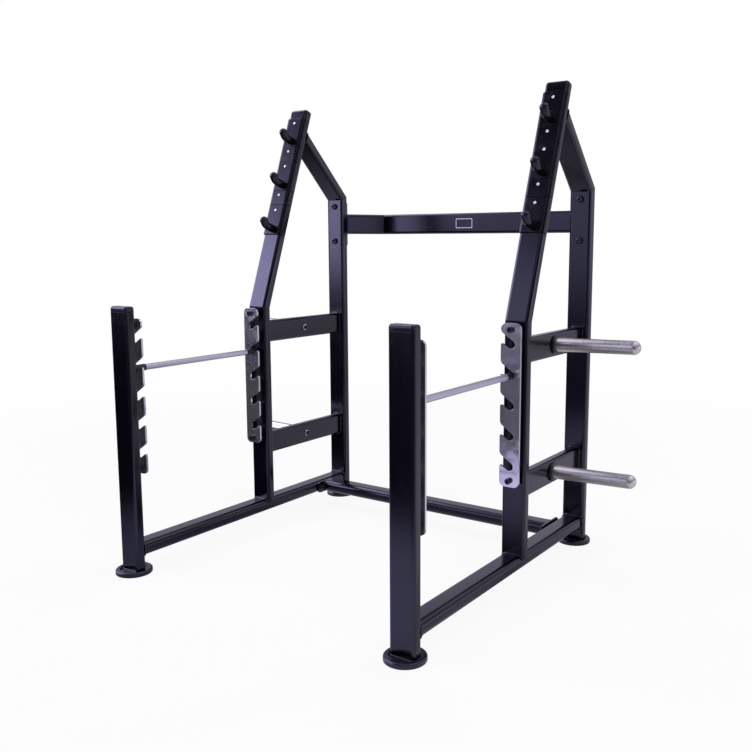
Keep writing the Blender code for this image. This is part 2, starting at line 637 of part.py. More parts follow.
def uprights(word, side):
    """Front post, main upright with its leaning top, rear upright and diagonal."""
    x = side * FRAME_X
    size = (TUBE_WIDTH, TUBE_DEPTH, TUBE_CORNER)
    middle = TUBE_DEPTH / 2
    plate_hole = PLATE_BOLT[0] + HOLE_CLEARANCE
    reach = 4 * TUBE_WALL
    path = [Vector((x, FRONT_Y + middle, POST_BOTTOM)), Vector((x, FRONT_Y + middle, FRONT_POST_TOP))]
    post = tube(f"front_post_{word}", size, path, RIGHT, gaps=(0, 0))
    wall = FRONT_Y + TUBE_DEPTH
    drill(post, [(Vector((x, wall, z)), BACK, plate_hole, reach) for z in PLATE_BOLT_HEIGHTS])
    cap(f"front_post_cap_{word}", path[1], UP)

    lean = lean_placement(side)
    bend = lean.translation
    mitre = (UP + LEAN_DIRECTION).normalized()
    path = [Vector((x, MAIN_Y + middle, BASE_TOP - MAIN_COPE)), bend]
    main = tube(f"main_upright_{word}", size, path, RIGHT, (None, mitre), (GAP, 0))
    cope = bmesh.new()
    outline = rounded_rectangle(BASE_WIDTH + 2 * GAP, BASE_HEIGHT + 2 * GAP, BASE_CORNER + GAP)
    start = frame_along(BACK, RIGHT, Vector((x, MAIN_Y - middle, BASE_MIDDLE)))
    extrude_outline(cope, outline, 2 * TUBE_DEPTH, start)
    combine(main, cope, "cope", "DIFFERENCE")
    drill(main, [(Vector((x, MAIN_Y, z)), BACK, plate_hole, reach) for z in PLATE_BOLT_HEIGHTS])
    top = lean @ Vector((0, 0, on_the_front(COVERS_TOP + LEAN_ABOVE_COVERS).z))
    leaning = tube(f"leaning_upright_{word}", size, [bend, top], RIGHT, (mitre, None), (GAP, 0))
    drill(leaning, leaning_holes(lean))
    cap(f"leaning_upright_cap_{word}", top, LEAN_DIRECTION)

    drop = middle * tan(DIAGONAL_LEAN / 2)
    bottom = Vector((x, REAR_Y + middle, POST_BOTTOM))
    corner = Vector((x, REAR_Y + middle, REAR_BEND_HEIGHT - drop))
    mitre = (UP + DIAGONAL_DIRECTION).normalized()
    rear = tube(f"rear_upright_{word}", size, [bottom, corner], RIGHT, (None, mitre), (0, 0))
    spots = [Vector((x, REAR_Y + middle, BEAM_HEIGHT + s * BEAM_BOLT_LIFT)) for s in (-1, 1)]
    hole = FLANGE_BOLT[0] + HOLE_CLEARANCE
    drill(rear, [(spot, BACK, hole, 2 * TUBE_DEPTH) for spot in spots])
    face = bend + LEAN_BACK * middle
    run = (face - corner).dot(LEAN_BACK) / DIAGONAL_DIRECTION.dot(LEAN_BACK)
    path = [corner, corner + DIAGONAL_DIRECTION * run]
    tube(f"diagonal_{word}", size, path, RIGHT, (mitre, LEAN_BACK))


def leaning_holes(lean):
    """Holes in the leaning tube's front wall for the cover screws and the hook studs."""
    reach = 4 * TUBE_WALL
    holes = []
    for _, start, _, screw, hook in cover_spans():
        spot = lean @ on_the_front(start + screw)
        holes.append((spot, LEAN_BACK, COVER_SCREW[0] + HOLE_CLEARANCE, reach))
        if hook is not None:
            spot = lean @ on_the_front(hook)
            holes.append((spot, LEAN_BACK, HOOK_STUD_RADIUS + STUD_CLEARANCE, reach))
    return holes


def side_members(word, side):
    """Base tube and the two braces that carry the weight pegs."""
    x = side * FRAME_X
    path = [Vector((x, FRONT_Y + TUBE_DEPTH, BASE_MIDDLE)), Vector((x, REAR_Y, BASE_MIDDLE))]
    base = tube(f"base_tube_{word}", (BASE_WIDTH, BASE_HEIGHT, BASE_CORNER), path, RIGHT)
    wall = side * (FRAME_X - BASE_WIDTH / 2)
    spots = [Vector((wall, LOWER_BEAM_Y + s * LOWER_BOLT_SHIFT, BASE_MIDDLE)) for s in (-1, 1)]
    hole = FLANGE_BOLT[0] + HOLE_CLEARANCE
    drill(base, [(spot, RIGHT, hole, 4 * TUBE_WALL) for spot in spots])
    for level, height in (("upper", UPPER_BRACE_HEIGHT), ("lower", LOWER_BRACE_HEIGHT)):
        path = [Vector((x, MAIN_Y + TUBE_DEPTH, height)), Vector((x, REAR_Y, height))]
        size = (TUBE_DEPTH, TUBE_WIDTH, TUBE_CORNER)
        brace = tube(f"{level}_brace_{word}", size, path, RIGHT)
        spot = Vector((x, BRACE_MIDDLE_Y, height))
        hole = PEG_STUD[0] + STUD_CLEARANCE
        drill(brace, [(spot, RIGHT, hole, 2 * TUBE_DEPTH)])
        weight_peg(level, word, side, height)


def upper_crossbeam():
    """One mitred tube behind the rear uprights, with a bolted flange at each end."""
    seat_y = REAR_Y + TUBE_DEPTH + GAP
    weld_y = seat_y + FLANGE_THICKNESS / 2
    inner_x = FRAME_X - BEAM_INSET
    path = [Vector((-FRAME_X, weld_y, BEAM_HEIGHT)), Vector((-inner_x, BEAM_Y, BEAM_HEIGHT))]
    path += [Vector((inner_x, BEAM_Y, BEAM_HEIGHT)), Vector((FRAME_X, weld_y, BEAM_HEIGHT))]
    size = (TUBE_WIDTH, TUBE_DEPTH, TUBE_CORNER)
    beam = tube("upper_crossbeam", size, path, UP, (BACK, -BACK), (0, 0))
    outline = rounded_rectangle(BEAM_FLANGE_WIDTH, BEAM_FLANGE_HEIGHT, FLANGE_CORNER)
    flanges = bmesh.new()
    bolts = bmesh.new()
    nuts = bmesh.new()
    vents = []
    grip = TUBE_DEPTH + FLANGE_THICKNESS + 2 * GAP + NUT_HEIGHT
    for _, side in SIDES:
        seat = Vector((side * FRAME_X, seat_y, BEAM_HEIGHT))
        extrude_outline(flanges, outline, FLANGE_THICKNESS, frame_along(BACK, RIGHT, seat))
        middle = seat + BACK * FLANGE_THICKNESS / 2
        vents.append((middle, BACK, VENT_RADIUS, 3 * FLANGE_THICKNESS))
        for lift in (-BEAM_BOLT_LIFT, BEAM_BOLT_LIFT):
            head = Vector((side * FRAME_X, REAR_Y - GAP, BEAM_HEIGHT + lift))
            fastener(bolts, head, -BACK, FLANGE_BOLT, grip + THREAD_BEYOND / 2, 0)
            inside = frame_along(BACK, RIGHT, middle + UP * lift)
            height = FLANGE_THICKNESS / 2 + NUT_HEIGHT
            profile = [(0, 0), (NUT_RADIUS, 0), (NUT_RADIUS, height), (0, height)]
            revolve(nuts, profile, inside, 6)
    combine(beam, flanges, "flanges", "UNION")
    combine(beam, bolts, "bolts", "UNION")
    combine(beam, nuts, "nuts", "UNION")
    drill(beam, vents)


def lower_crossbeam():
    """A straight tube between the base tubes, with a bolted flange at each end."""
    seat_x = FRAME_X - BASE_WIDTH / 2 - GAP
    weld_x = seat_x - FLANGE_THICKNESS / 2
    path = [Vector((-weld_x, LOWER_BEAM_Y, BASE_MIDDLE)), Vector((weld_x, LOWER_BEAM_Y, BASE_MIDDLE))]
    size = (BASE_WIDTH, BASE_HEIGHT, BASE_CORNER)
    beam = tube("lower_crossbeam", size, path, BACK, gaps=(0, 0))
    outline = rounded_rectangle(LOWER_FLANGE_LENGTH, BASE_HEIGHT, FLANGE_CORNER)
    flanges = bmesh.new()
    bolts = bmesh.new()
    vents = []
    grip = FLANGE_THICKNESS + GAP + TUBE_WALL + THREAD_BEYOND
    for _, side in SIDES:
        inwards = -RIGHT * side
        seat = Vector((side * seat_x, LOWER_BEAM_Y, BASE_MIDDLE))
        extrude_outline(flanges, outline, FLANGE_THICKNESS, frame_along(inwards, BACK, seat))
        vents.append((seat, RIGHT, VENT_RADIUS, 3 * FLANGE_THICKNESS))
        for shift in (-LOWER_BOLT_SHIFT, LOWER_BOLT_SHIFT):
            head = seat + inwards * FLANGE_THICKNESS + BACK * shift
            fastener(bolts, head, inwards, FLANGE_BOLT, grip, FLANGE_THICKNESS / 2)
    combine(beam, flanges, "flanges", "UNION")
    combine(beam, bolts, "bolts", "UNION")
    drill(beam, vents)


clear_scene()

STEEL_BLACK = material("satin black powder coat", (0.022, 0.022, 0.027), 0.34)
STEEL_PLATED = material("plated steel", (0.56, 0.56, 0.60), 0.28, 1.0)
STEEL_DARK = material("black oxide steel", (0.03, 0.03, 0.035), 0.42, 0.6)
STAINLESS = material("brushed stainless steel", (0.60, 0.59, 0.58), 0.30, 1.0)
PLASTIC_BLACK = material("black nylon", (0.028, 0.028, 0.030), 0.50)
SLEEVE_BLACK = material("black hook sleeve", (0.018, 0.018, 0.020), 0.55)
RUBBER_BLACK = material("black rubber", (0.020, 0.020, 0.021), 0.75)

for side_word, side_sign in SIDES:
    foot(f"front_foot_{side_word}", side_sign, FRONT_Y)
    foot(f"rear_foot_{side_word}", side_sign, REAR_Y)
    uprights(side_word, side_sign)
    side_members(side_word, side_sign)
    catch_plate(f"front_catch_plate_{side_word}", side_sign, FRONT_PLATE_Y, BACK)
    catch_plate(f"main_catch_plate_{side_word}", side_sign, MAIN_PLATE_Y, -BACK)
    safety_rod(side_word, side_sign)
    for cover_span in cover_spans():
        cover(f"{cover_span[0]}_{side_word}", side_sign, cover_span)
        if cover_span[4] is not None:
            hook_name = cover_span[0].replace("hook_cover", "bar_hook")
            bar_hook(f"{hook_name}_{side_word}", side_sign, cover_span[4])

upper_crossbeam()
lower_crossbeam()
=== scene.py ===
from math import atan2, cos, hypot, pi, radians, sin, tan

import bmesh
import bpy
from mathutils import Matrix, Vector


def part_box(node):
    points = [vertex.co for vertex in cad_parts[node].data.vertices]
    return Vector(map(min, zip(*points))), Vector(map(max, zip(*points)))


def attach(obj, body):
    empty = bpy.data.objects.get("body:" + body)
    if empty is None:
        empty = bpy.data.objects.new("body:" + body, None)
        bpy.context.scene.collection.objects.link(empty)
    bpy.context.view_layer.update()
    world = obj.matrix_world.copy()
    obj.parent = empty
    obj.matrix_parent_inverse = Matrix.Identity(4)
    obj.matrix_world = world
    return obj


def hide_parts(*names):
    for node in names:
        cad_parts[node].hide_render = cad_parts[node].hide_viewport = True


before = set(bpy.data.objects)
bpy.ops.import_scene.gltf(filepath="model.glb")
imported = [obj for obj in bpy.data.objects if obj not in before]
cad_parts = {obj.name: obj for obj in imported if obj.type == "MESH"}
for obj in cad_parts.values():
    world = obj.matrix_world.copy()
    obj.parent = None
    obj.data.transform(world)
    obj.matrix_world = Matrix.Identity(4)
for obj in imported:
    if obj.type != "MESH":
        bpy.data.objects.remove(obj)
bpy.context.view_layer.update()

# Base tubes. Each side frame stands on one straight steel tube laid flat, finished in satin
# black powder coat, which dries to a fine orange peel. Its ends are welded to the uprights.

RIGHT = Vector((1, 0, 0))
BACK = Vector((0, 1, 0))
UP = Vector((0, 0, 1))
SIDES = {"left": -1, "right": 1}
TUBE_CORNER = 0.012
TUBE_STEPS = 8
SAW_EASE = 0.0006
BASE_SIZE = (0.080, 0.050)
BASE_CORNER = 0.020
WELD = 0.006
WELD_REACH = 0.0045
WELD_SINK = 0.003
WELD_ROUND = 0.85
WELD_STEPS = 4
PAINT = (0.0009, 0.0007, 0.0026, 1)
PAINT_WORN = (0.0060, 0.0055, 0.0095, 1)


class Value:
    """A socket of a finish. Sums and products of values add Math nodes."""

    def __init__(self, finish, socket):
        self.finish = finish
        self.socket = socket

    def maths(self, operation, left, right):
        return self.finish.node("ShaderNodeMath", {"operation": operation}, {0: left, 1: right})

    def __add__(self, other):
        return self.maths("ADD", self, other)

    def __radd__(self, other):
        return self.maths("ADD", other, self)

    def __sub__(self, other):
        return self.maths("SUBTRACT", self, other)

    def __rsub__(self, other):
        return self.maths("SUBTRACT", other, self)

    def __mul__(self, other):
        return self.maths("MULTIPLY", self, other)

    def __rmul__(self, other):
        return self.maths("MULTIPLY", other, self)


class Finish:
    """A surface finish: one Principled shader and the nodes that vary it."""

    def __init__(self, name, **fixed):
        self.material = bpy.data.materials.new(name)
        self.material.use_nodes = True
        self.tree = self.material.node_tree
        self.shader = self.tree.nodes["Principled BSDF"]
        self.place = self.node("ShaderNodeTexCoord", out="Object")
        for socket, value in fixed.items():
            self.feed(self.shader.inputs[socket.replace("_", " ").title().replace("Ior", "IOR")], value)

    def node(self, kind, settings=None, values=None, out=0):
        made = self.tree.nodes.new(kind)
        for name, value in (settings or {}).items():
            setattr(made, name, value)
        for name, value in (values or {}).items():
            self.feed(made.inputs[name], value)
        return Value(self, made.outputs[out])

    def feed(self, socket, value):
        if isinstance(value, Value):
            self.tree.links.new(value.socket, socket)
        else:
            socket.default_value = value

    def noise(self, scale, detail, stretch=(1, 1, 1)):
        spot = self.node("ShaderNodeMapping", None, {"Vector": self.place, "Scale": stretch})
        return self.node("ShaderNodeTexNoise", None, {"Vector": spot, "Scale": scale, "Detail": detail})

    def band(self, value, low, high):
        limits = {"Value": value, "From Min": low, "From Max": high}
        return self.node("ShaderNodeMapRange", {"interpolation_type": "SMOOTHSTEP"}, limits)

    def mix(self, share, first, second):
        values = {0: share, 6: first, 7: second}
        return self.node("ShaderNodeMix", {"data_type": "RGBA"}, values, 2)

    def towards(self, direction):
        """How far a place lies along a direction."""
        values = {0: self.place, 1: direction}
        return self.node("ShaderNodeVectorMath", {"operation": "DOT_PRODUCT"}, values, "Value")

    def surface(self, colour, roughness, height, strength, distance):
        """Feeds what changes over the surface: its colour, its gloss and its relief."""
        relief = {"Height": height, "Strength": strength, "Distance": distance}
        self.feed(self.shader.inputs["Base Color"], colour)
        self.feed(self.shader.inputs["Roughness"], roughness)
        self.feed(self.shader.inputs["Normal"], self.node("ShaderNodeBump", None, relief))


def powder_coat(name, peel_scale, strength):
    """Near black paint with a blue cast, faint clouds of gloss and a fine orange peel."""
    finish = Finish(name, specular_ior_level=0.50)
    clouds = finish.noise(6, 3)
    dust = finish.band(finish.noise(75, 6), 0.55, 0.85)
    peel = finish.noise(peel_scale, 2)
    colour = finish.mix(dust * 0.5, PAINT, PAINT_WORN)
    roughness = 0.12 + clouds * 0.08 + dust * 0.08
    finish.surface(colour, roughness, peel, strength, distance=0.0003)
    return finish


POWDER_COAT = powder_coat("satin black powder coat", peel_scale=620, strength=0.16)
WELD_COAT = powder_coat("powder coat over weld", peel_scale=210, strength=0.55)
SHARP_ANGLE = radians(38)
TINY = 1e-6


def piece(name, shape, finish, slot, *nodes, body="rack"):
    """Makes the finished object of a shape. It rides on a body and stands for CAD nodes."""
    mesh = bpy.data.meshes.new(name)
    shape.to_mesh(mesh)
    shape.free()
    mesh.shade_smooth()
    mesh.set_sharp_from_angle(angle=SHARP_ANGLE)
    mesh.materials.append(finish.material)
    made = bpy.data.objects.new(name, mesh)
    bpy.context.scene.collection.objects.link(made)
    normals = made.modifiers.new("even flats", "WEIGHTED_NORMAL")
    normals.keep_sharp = True
    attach(made, body)
    if nodes:
        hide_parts(*nodes)
    return made


def along(run, side, place):
    """A placement whose Z runs along run and whose X runs along side."""
    z_axis = run.normalized()
    x_axis = (side - z_axis * side.dot(z_axis)).normalized()
    turn = Matrix((x_axis, z_axis.cross(x_axis), z_axis)).transposed().to_4x4()
    return Matrix.Translation(place) @ turn


def put(shape, old, place):
    """Moves what was added to a shape since old was noted."""
    bmesh.ops.transform(shape, matrix=place, verts=[v for v in shape.verts if v not in old])


def bevel(shape, edges, amount, steps):
    settings = {"offset_type": "OFFSET", "profile": 0.5, "affect": "EDGES", "material": -1}
    bmesh.ops.bevel(shape, geom=edges, offset=amount, segments=steps, **settings)


def level_edges(shape, old, height):
    """The new edges that lie flat at a height."""
    return [
        edge
        for edge in shape.edges
        if all(v not in old and abs(v.co.z - height) < TINY for v in edge.verts)
    ]


def bar(shape, size, length, corner, place, ends=(0, 0), end_steps=3):
    """A straight bar along Z with rounded long edges and, if wanted, rounded end rims."""
    old = set(shape.verts)
    cube = bmesh.ops.create_cube(shape, size=1)["verts"]
    bmesh.ops.scale(shape, vec=(*size, length), verts=cube)
    bmesh.ops.translate(shape, vec=(0, 0, length / 2), verts=cube)
    upright = {e for v in cube for e in v.link_edges if e.verts[0].co.z != e.verts[1].co.z}
    bevel(shape, list(upright), corner, TUBE_STEPS)
    for height, amount in zip((0, length), ends):
        if amount:
            bevel(shape, level_edges(shape, old, height), amount, end_steps)
    put(shape, old, place)


def saw(shape, point, outwards, ease, steps):
    """Cuts off what lies past a plane, closes the cut and eases its rim."""
    geometry = shape.verts[:] + shape.edges[:] + shape.faces[:]
    cut = bmesh.ops.bisect_plane(
        shape, geom=geometry, plane_co=point, plane_no=outwards, clear_outer=True
    )["geom_cut"]
    rim = [part for part in cut if isinstance(part, bmesh.types.BMEdge)]
    bmesh.ops.edgeloop_fill(shape, edges=rim)
    bevel(shape, rim, ease, steps)


def tube(
    size, start, end, side, planes=(None, None), corner=TUBE_CORNER, ease=SAW_EASE, steps=1
):
    """A tube between two points. Each end is sawn square, or on the plane of a given normal."""
    shape = bmesh.new()
    run = (end - start).normalized()
    spare = run * max(size)
    bar(shape, size, (end - start).length + 2 * max(size), corner, along(run, side, start - spare))
    saw(shape, start, -(planes[0] or run), ease, steps)
    saw(shape, end, planes[1] or run, ease, steps)
    return shape


def weld(name, size, joint, run, side, plane=None, corner=TUBE_CORNER, bead=WELD):
    """A bead round a tube where it meets a face: a wider slice with a rounded rim."""
    normal = plane or run
    lean = run.dot(normal)
    wide = (size[0] + 2 * bead, size[1] + 2 * bead)
    ends = (joint - run * WELD_SINK / lean, joint + run * WELD_REACH / lean)
    planes = (normal, normal)
    shape = tube(wide, *ends, side, planes, corner + bead, WELD_REACH * WELD_ROUND, WELD_STEPS)
    return piece(name, shape, WELD_COAT, "steel_black")


for word in SIDES:
    low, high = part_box(f"base_tube_{word}")
    middle = (low + high) / 2
    front_end = Vector((middle.x, low.y, middle.z))
    rear_end = Vector((middle.x, high.y, middle.z))
    shape = tube(BASE_SIZE, front_end, rear_end, RIGHT, corner=BASE_CORNER)
    piece(f"base_bar_{word}", shape, POWDER_COAT, "steel_black", f"base_tube_{word}")
    weld(f"base_front_weld_{word}", BASE_SIZE, front_end, BACK, RIGHT, corner=BASE_CORNER)
    weld(f"base_rear_weld_{word}", BASE_SIZE, rear_end, -BACK, RIGHT, corner=BASE_CORNER)

# Feet. The front posts and rear uprights stand in round cups of moulded black rubber with a
# wide rounded rim. A plug goes up into the tube and a short collar closes round its end.

FOOT_STEPS = 72
FOOT_HEIGHT = 0.017
FOOT_FLOOR = 0.010
FOOT_SOLE_EDGE = 0.002
FOOT_RIM_BEND = 0.0062
FOOT_RIM_SWEEP = 78
FOOT_CREST = (0.0125, 0.0166)
FOOT_RIM_WIDTH = 0.0152
FOOT_LIP_BEND = 0.0012
FOOT_LIP_HEIGHT = 0.0164
TUBE_SIZE = (0.090, 0.040)
COLLAR = 0.0025
COLLAR_HEIGHT = 0.004
COLLAR_EDGE = 0.00225
COLLAR_SINK = 0.0005
STANDS_UNDER = {"front": "front_post", "rear": "rear_upright"}

FOOT_RUBBER = Finish("moulded black rubber", specular_ior_level=0.50)
scuffs = FOOT_RUBBER.band(FOOT_RUBBER.noise(38, 5), 0.48, 0.80)
FOOT_RUBBER.surface(
    colour=FOOT_RUBBER.mix(scuffs * 0.6, (0.0060, 0.0058, 0.0085, 1), (0.030, 0.029, 0.036, 1)),
    roughness=0.26 + scuffs * 0.25,
    height=FOOT_RUBBER.noise(480, 3) + FOOT_RUBBER.noise(45, 2) * 0.6,
    strength=0.15,
    distance=0.0005,
)


def arc(radius, height, bend, first, last, steps):
    """Points of a rounded corner in a turned profile, between two angles in degrees."""
    angles = [radians(first + (last - first) * step / steps) for step in range(steps + 1)]
    return [(radius + bend * cos(angle), height + bend * sin(angle)) for angle in angles]


def turned(shape, profile, place, steps):
    """Spins a (radius, height) profile round Z into a closed form."""
    old = set(shape.verts)
    points = [shape.verts.new((radius, 0, height)) for radius, height in profile]
    edges = [shape.edges.new(pair) for pair in zip(points, points[1:])]
    bmesh.ops.spin(
        shape, geom=points + edges, axis=(0, 0, 1), angle=2 * pi, steps=steps, use_merge=True
    )
    fresh = [v for v in shape.verts if v not in old]
    bmesh.ops.remove_doubles(shape, verts=fresh, dist=TINY)
    faces = [f for f in shape.faces if all(v not in old for v in f.verts)]
    bmesh.ops.recalc_face_normals(shape, faces=faces)
    put(shape, old, place)


for word in SIDES:
    for where, upright in STANDS_UNDER.items():
        foot = f"{where}_foot_{word}"
        low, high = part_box(foot)
        radius = (high.x - low.x) / 2
        middle = Vector(((low.x + high.x) / 2, (low.y + high.y) / 2, 0))
        sole = arc(radius - FOOT_SOLE_EDGE, FOOT_SOLE_EDGE, FOOT_SOLE_EDGE, -90, 0, 3)
        rim_height = FOOT_HEIGHT - FOOT_RIM_BEND
        rim = arc(radius - FOOT_RIM_BEND, rim_height, FOOT_RIM_BEND, 0, FOOT_RIM_SWEEP, 8)
        crest = (radius - FOOT_CREST[0], FOOT_CREST[1])
        wall = radius - FOOT_RIM_WIDTH
        lip_height = FOOT_LIP_HEIGHT - FOOT_LIP_BEND
        lip = arc(wall + FOOT_LIP_BEND, lip_height, FOOT_LIP_BEND, 90, 180, 3)
        well = [(wall, FOOT_FLOOR), (0, FOOT_FLOOR)]
        shape = bmesh.new()
        profile = [(0, 0)] + sole + rim + [crest] + lip + well
        turned(shape, profile, Matrix.Translation(middle), FOOT_STEPS)
        spot = middle + UP * (FOOT_FLOOR - COLLAR_SINK)
        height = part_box(f"{upright}_{word}")[0].z + COLLAR_HEIGHT - spot.z
        wide = [size + 2 * COLLAR for size in TUBE_SIZE]
        place = Matrix.Translation(spot)
        bar(shape, wide, height, TUBE_CORNER + COLLAR, place, (0, COLLAR_EDGE), end_steps=4)
        piece(f"{where}_cup_{word}", shape, FOOT_RUBBER, "foot_rubber", foot)

# Uprights. Front posts, main uprights with their leaning tops, and rear uprights with their
# diagonals are one size of rectangular steel tube, mitred at the bends and welded.

MAIN_LEAN = radians(19.2)
DIAGONAL_LEAN = radians(45.9)
LEAN_TURN = Matrix.Rotation(-MAIN_LEAN, 4, "X")
LEAN_UP = LEAN_TURN @ UP
LEAN_BACK = LEAN_TURN @ BACK
DIAGONAL_UP = Matrix.Rotation(DIAGONAL_LEAN, 4, "X") @ UP
FOOT_WELD = 0.0040
FOOT_WELD_ROUND = 0.8
FOOT_WELD_EASE = 0.0015
MAIN_COPE = 0.014


def bend_of(word):
    """Where the leaning tube's middle line starts, on the mitre with the main upright."""
    low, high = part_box(f"main_upright_{word}")
    height = high.z - TUBE_SIZE[1] * tan(MAIN_LEAN / 2) / 2
    return Vector(((low.x + high.x) / 2, low.y + TUBE_SIZE[1] / 2, height))


def lean_length(word):
    """The leaning tube's length up its middle line, from the box of its square cut end."""
    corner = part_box(f"leaning_upright_{word}")[1]
    return (corner - bend_of(word)).dot(LEAN_UP) - TUBE_SIZE[1] * sin(MAIN_LEAN) * cos(MAIN_LEAN)


for word in SIDES:
    low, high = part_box(f"front_post_{word}")
    x = (low.x + high.x) / 2
    centre = Vector((x, (low.y + high.y) / 2, low.z))
    shape = tube(TUBE_SIZE, centre, centre + UP * (high.z - low.z), RIGHT)
    piece(f"front_tube_{word}", shape, POWDER_COAT, "steel_black", f"front_post_{word}")

    bend = bend_of(word)
    centre = Vector((x, bend.y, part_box(f"main_upright_{word}")[0].z))
    mitre = (UP + LEAN_UP).normalized()
    shape = tube(TUBE_SIZE, centre, bend, RIGHT, (None, mitre))
    piece(f"main_tube_{word}", shape, POWDER_COAT, "steel_black", f"main_upright_{word}")
    base_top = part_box(f"base_tube_{word}")[1].z
    wide = [size + 2 * FOOT_WELD for size in BASE_SIZE]
    spot = Vector((x, centre.y, base_top - BASE_SIZE[1] / 2))
    half = BACK * (TUBE_SIZE[1] / 2 + FOOT_WELD)
    corner = BASE_CORNER + FOOT_WELD
    ease = FOOT_WELD * FOOT_WELD_ROUND
    shape = tube(wide, spot - half, spot + half, RIGHT, corner=corner, ease=ease, steps=WELD_STEPS)
    saw(shape, Vector((x, centre.y, base_top - MAIN_COPE)), -UP, FOOT_WELD_EASE, 2)
    piece(f"main_foot_weld_{word}", shape, WELD_COAT, "steel_black")

    top = bend + LEAN_UP * lean_length(word)
    shape = tube(TUBE_SIZE, bend, top, RIGHT, (mitre, None))
    piece(f"leaning_tube_{word}", shape, POWDER_COAT, "steel_black", f"leaning_upright_{word}")

    low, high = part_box(f"rear_upright_{word}")
    centre = Vector((x, (low.y + high.y) / 2, low.z))
    drop = TUBE_SIZE[1] * tan(DIAGONAL_LEAN / 2)
    corner = Vector((x, centre.y, high.z - drop / 2))
    mitre = (UP + DIAGONAL_UP).normalized()
    shape = tube(TUBE_SIZE, centre, corner, RIGHT, (None, mitre))
    piece(f"rear_tube_{word}", shape, POWDER_COAT, "steel_black", f"rear_upright_{word}")
    face = bend + LEAN_BACK * TUBE_SIZE[1] / 2
    reach = (face - corner).dot(LEAN_BACK) / DIAGONAL_UP.dot(LEAN_BACK)
    end = corner + DIAGONAL_UP * reach
    shape = tube(TUBE_SIZE, corner, end, RIGHT, (mitre, -LEAN_BACK))
    piece(f"diagonal_tube_{word}", shape, POWDER_COAT, "steel_black", f"diagonal_{word}")
    weld(f"diagonal_weld_{word}", TUBE_SIZE, end, -DIAGONAL_UP, RIGHT, LEAN_BACK, bead=WELD / 2)

# Braces. Two short steel tubes on edge tie each main upright to the rear one and carry the
# pegs. A weld runs round each end.

for word in SIDES:
    for level in ("upper", "lower"):
        low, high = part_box(f"{level}_brace_{word}")
        middle = (low + high) / 2
        front_end = Vector((middle.x, low.y, middle.z))
        rear_end = Vector((middle.x, high.y, middle.z))
        size = (TUBE_SIZE[1], TUBE_SIZE[0])
        shape = tube(size, front_end, rear_end, RIGHT)
        node = f"{level}_brace_{word}"
        piece(f"{level}_brace_tube_{word}", shape, POWDER_COAT, "steel_black", node)
        weld(f"{level}_brace_front_weld_{word}", size, front_end, BACK, RIGHT)
        weld(f"{level}_brace_rear_weld_{word}", size, rear_end, -BACK, RIGHT)

# Caps. Moulded black nylon plugs close the tops of the front posts and leaning tubes. Each
# has a head flush with the tube, rounded over at the top.

GAP = 0.0003
CAP_HEIGHT = 0.020
CAP_EASES = (0.0008, 0.009)
CAP_STEPS = 6


def moulded(name, dark, light, gloss, grain, strength, shine=0.45):
    """Black plastic with a fine spark eroded grain and faint handling marks."""
    finish = Finish(name, specular_ior_level=shine)
    marks = finish.band(finish.noise(24, 5), 0.45, 0.80)
    colour = finish.mix(marks * 0.5, dark, light)
    relief = finish.noise(grain, 3)
    finish.surface(colour, gloss + marks * 0.12, relief, strength, distance=0.0003)
    return finish


NYLON = moulded(
    "grained black nylon",
    dark=(0.0035, 0.0033, 0.0060, 1),
    light=(0.014, 0.013, 0.020, 1),
    gloss=0.14,
    grain=900,
    strength=0.15,
)


def cap(name, place, node):
    """A cap's head, on the end of a tube whose Z runs out of it."""
    shape = bmesh.new()
    bar(shape, TUBE_SIZE, CAP_HEIGHT - GAP, TUBE_CORNER, place, CAP_EASES, CAP_STEPS)
    piece(name, shape, NYLON, "plastic_black", node)


for word in SIDES:
    low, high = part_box(f"front_post_{word}")
    top = Vector(((low.x + high.x) / 2, (low.y + high.y) / 2, high.z + GAP))
    cap(f"front_cap_{word}", Matrix.Translation(top), f"front_post_cap_{word}")
    top = bend_of(word) + LEAN_UP * (lean_length(word) + GAP)
    place = Matrix.Translation(top) @ LEAN_TURN
    cap(f"leaning_cap_{word}", place, f"leaning_upright_cap_{word}")

# Catch plates. Four cut and satin plated steel plates hold the safety rods. Each has five
# notches that slope down to a round seat, a small lip below each mouth and a fuller tooth
# above it, and stands off its upright on two spacers under black socket head bolts.

PLATE_WIDTH = 0.075
PLATE_THICKNESS = 0.008
PLATE_TOP = 0.925
PLATE_BOTTOM = 0.3605
PLATE_CORNER = 0.020
PLATE_BREAK = 0.0008
PLATE_EDGE_STEPS = 2
PLATE_STANDOFF = 0.026
NOTCH_TOP = 0.853
NOTCH_PITCH = 0.105
NOTCH_COUNT = 5
NOTCH_RADIUS = 0.0148
NOTCH_SLOPE = radians(33)
NOTCH_LIP = 0.005
NOTCH_TOOTH = 0.018
PLATE_BOLT_HEIGHTS = (0.3825, 0.903)
PLATE_BOLT = {"radius": 0.0105, "height": 0.012, "socket": 0.0090, "edge": 0.0014}
SPACER_RADIUS = 0.0100
CORNER_STEPS_PER_METRE = 700
SOCKET_CHAMFER = (0.0006, 0.0005)
SOCKET_FLOOR = 0.45
SOCKET_CENTRE = 0.40
BOLT_STEPS = 36

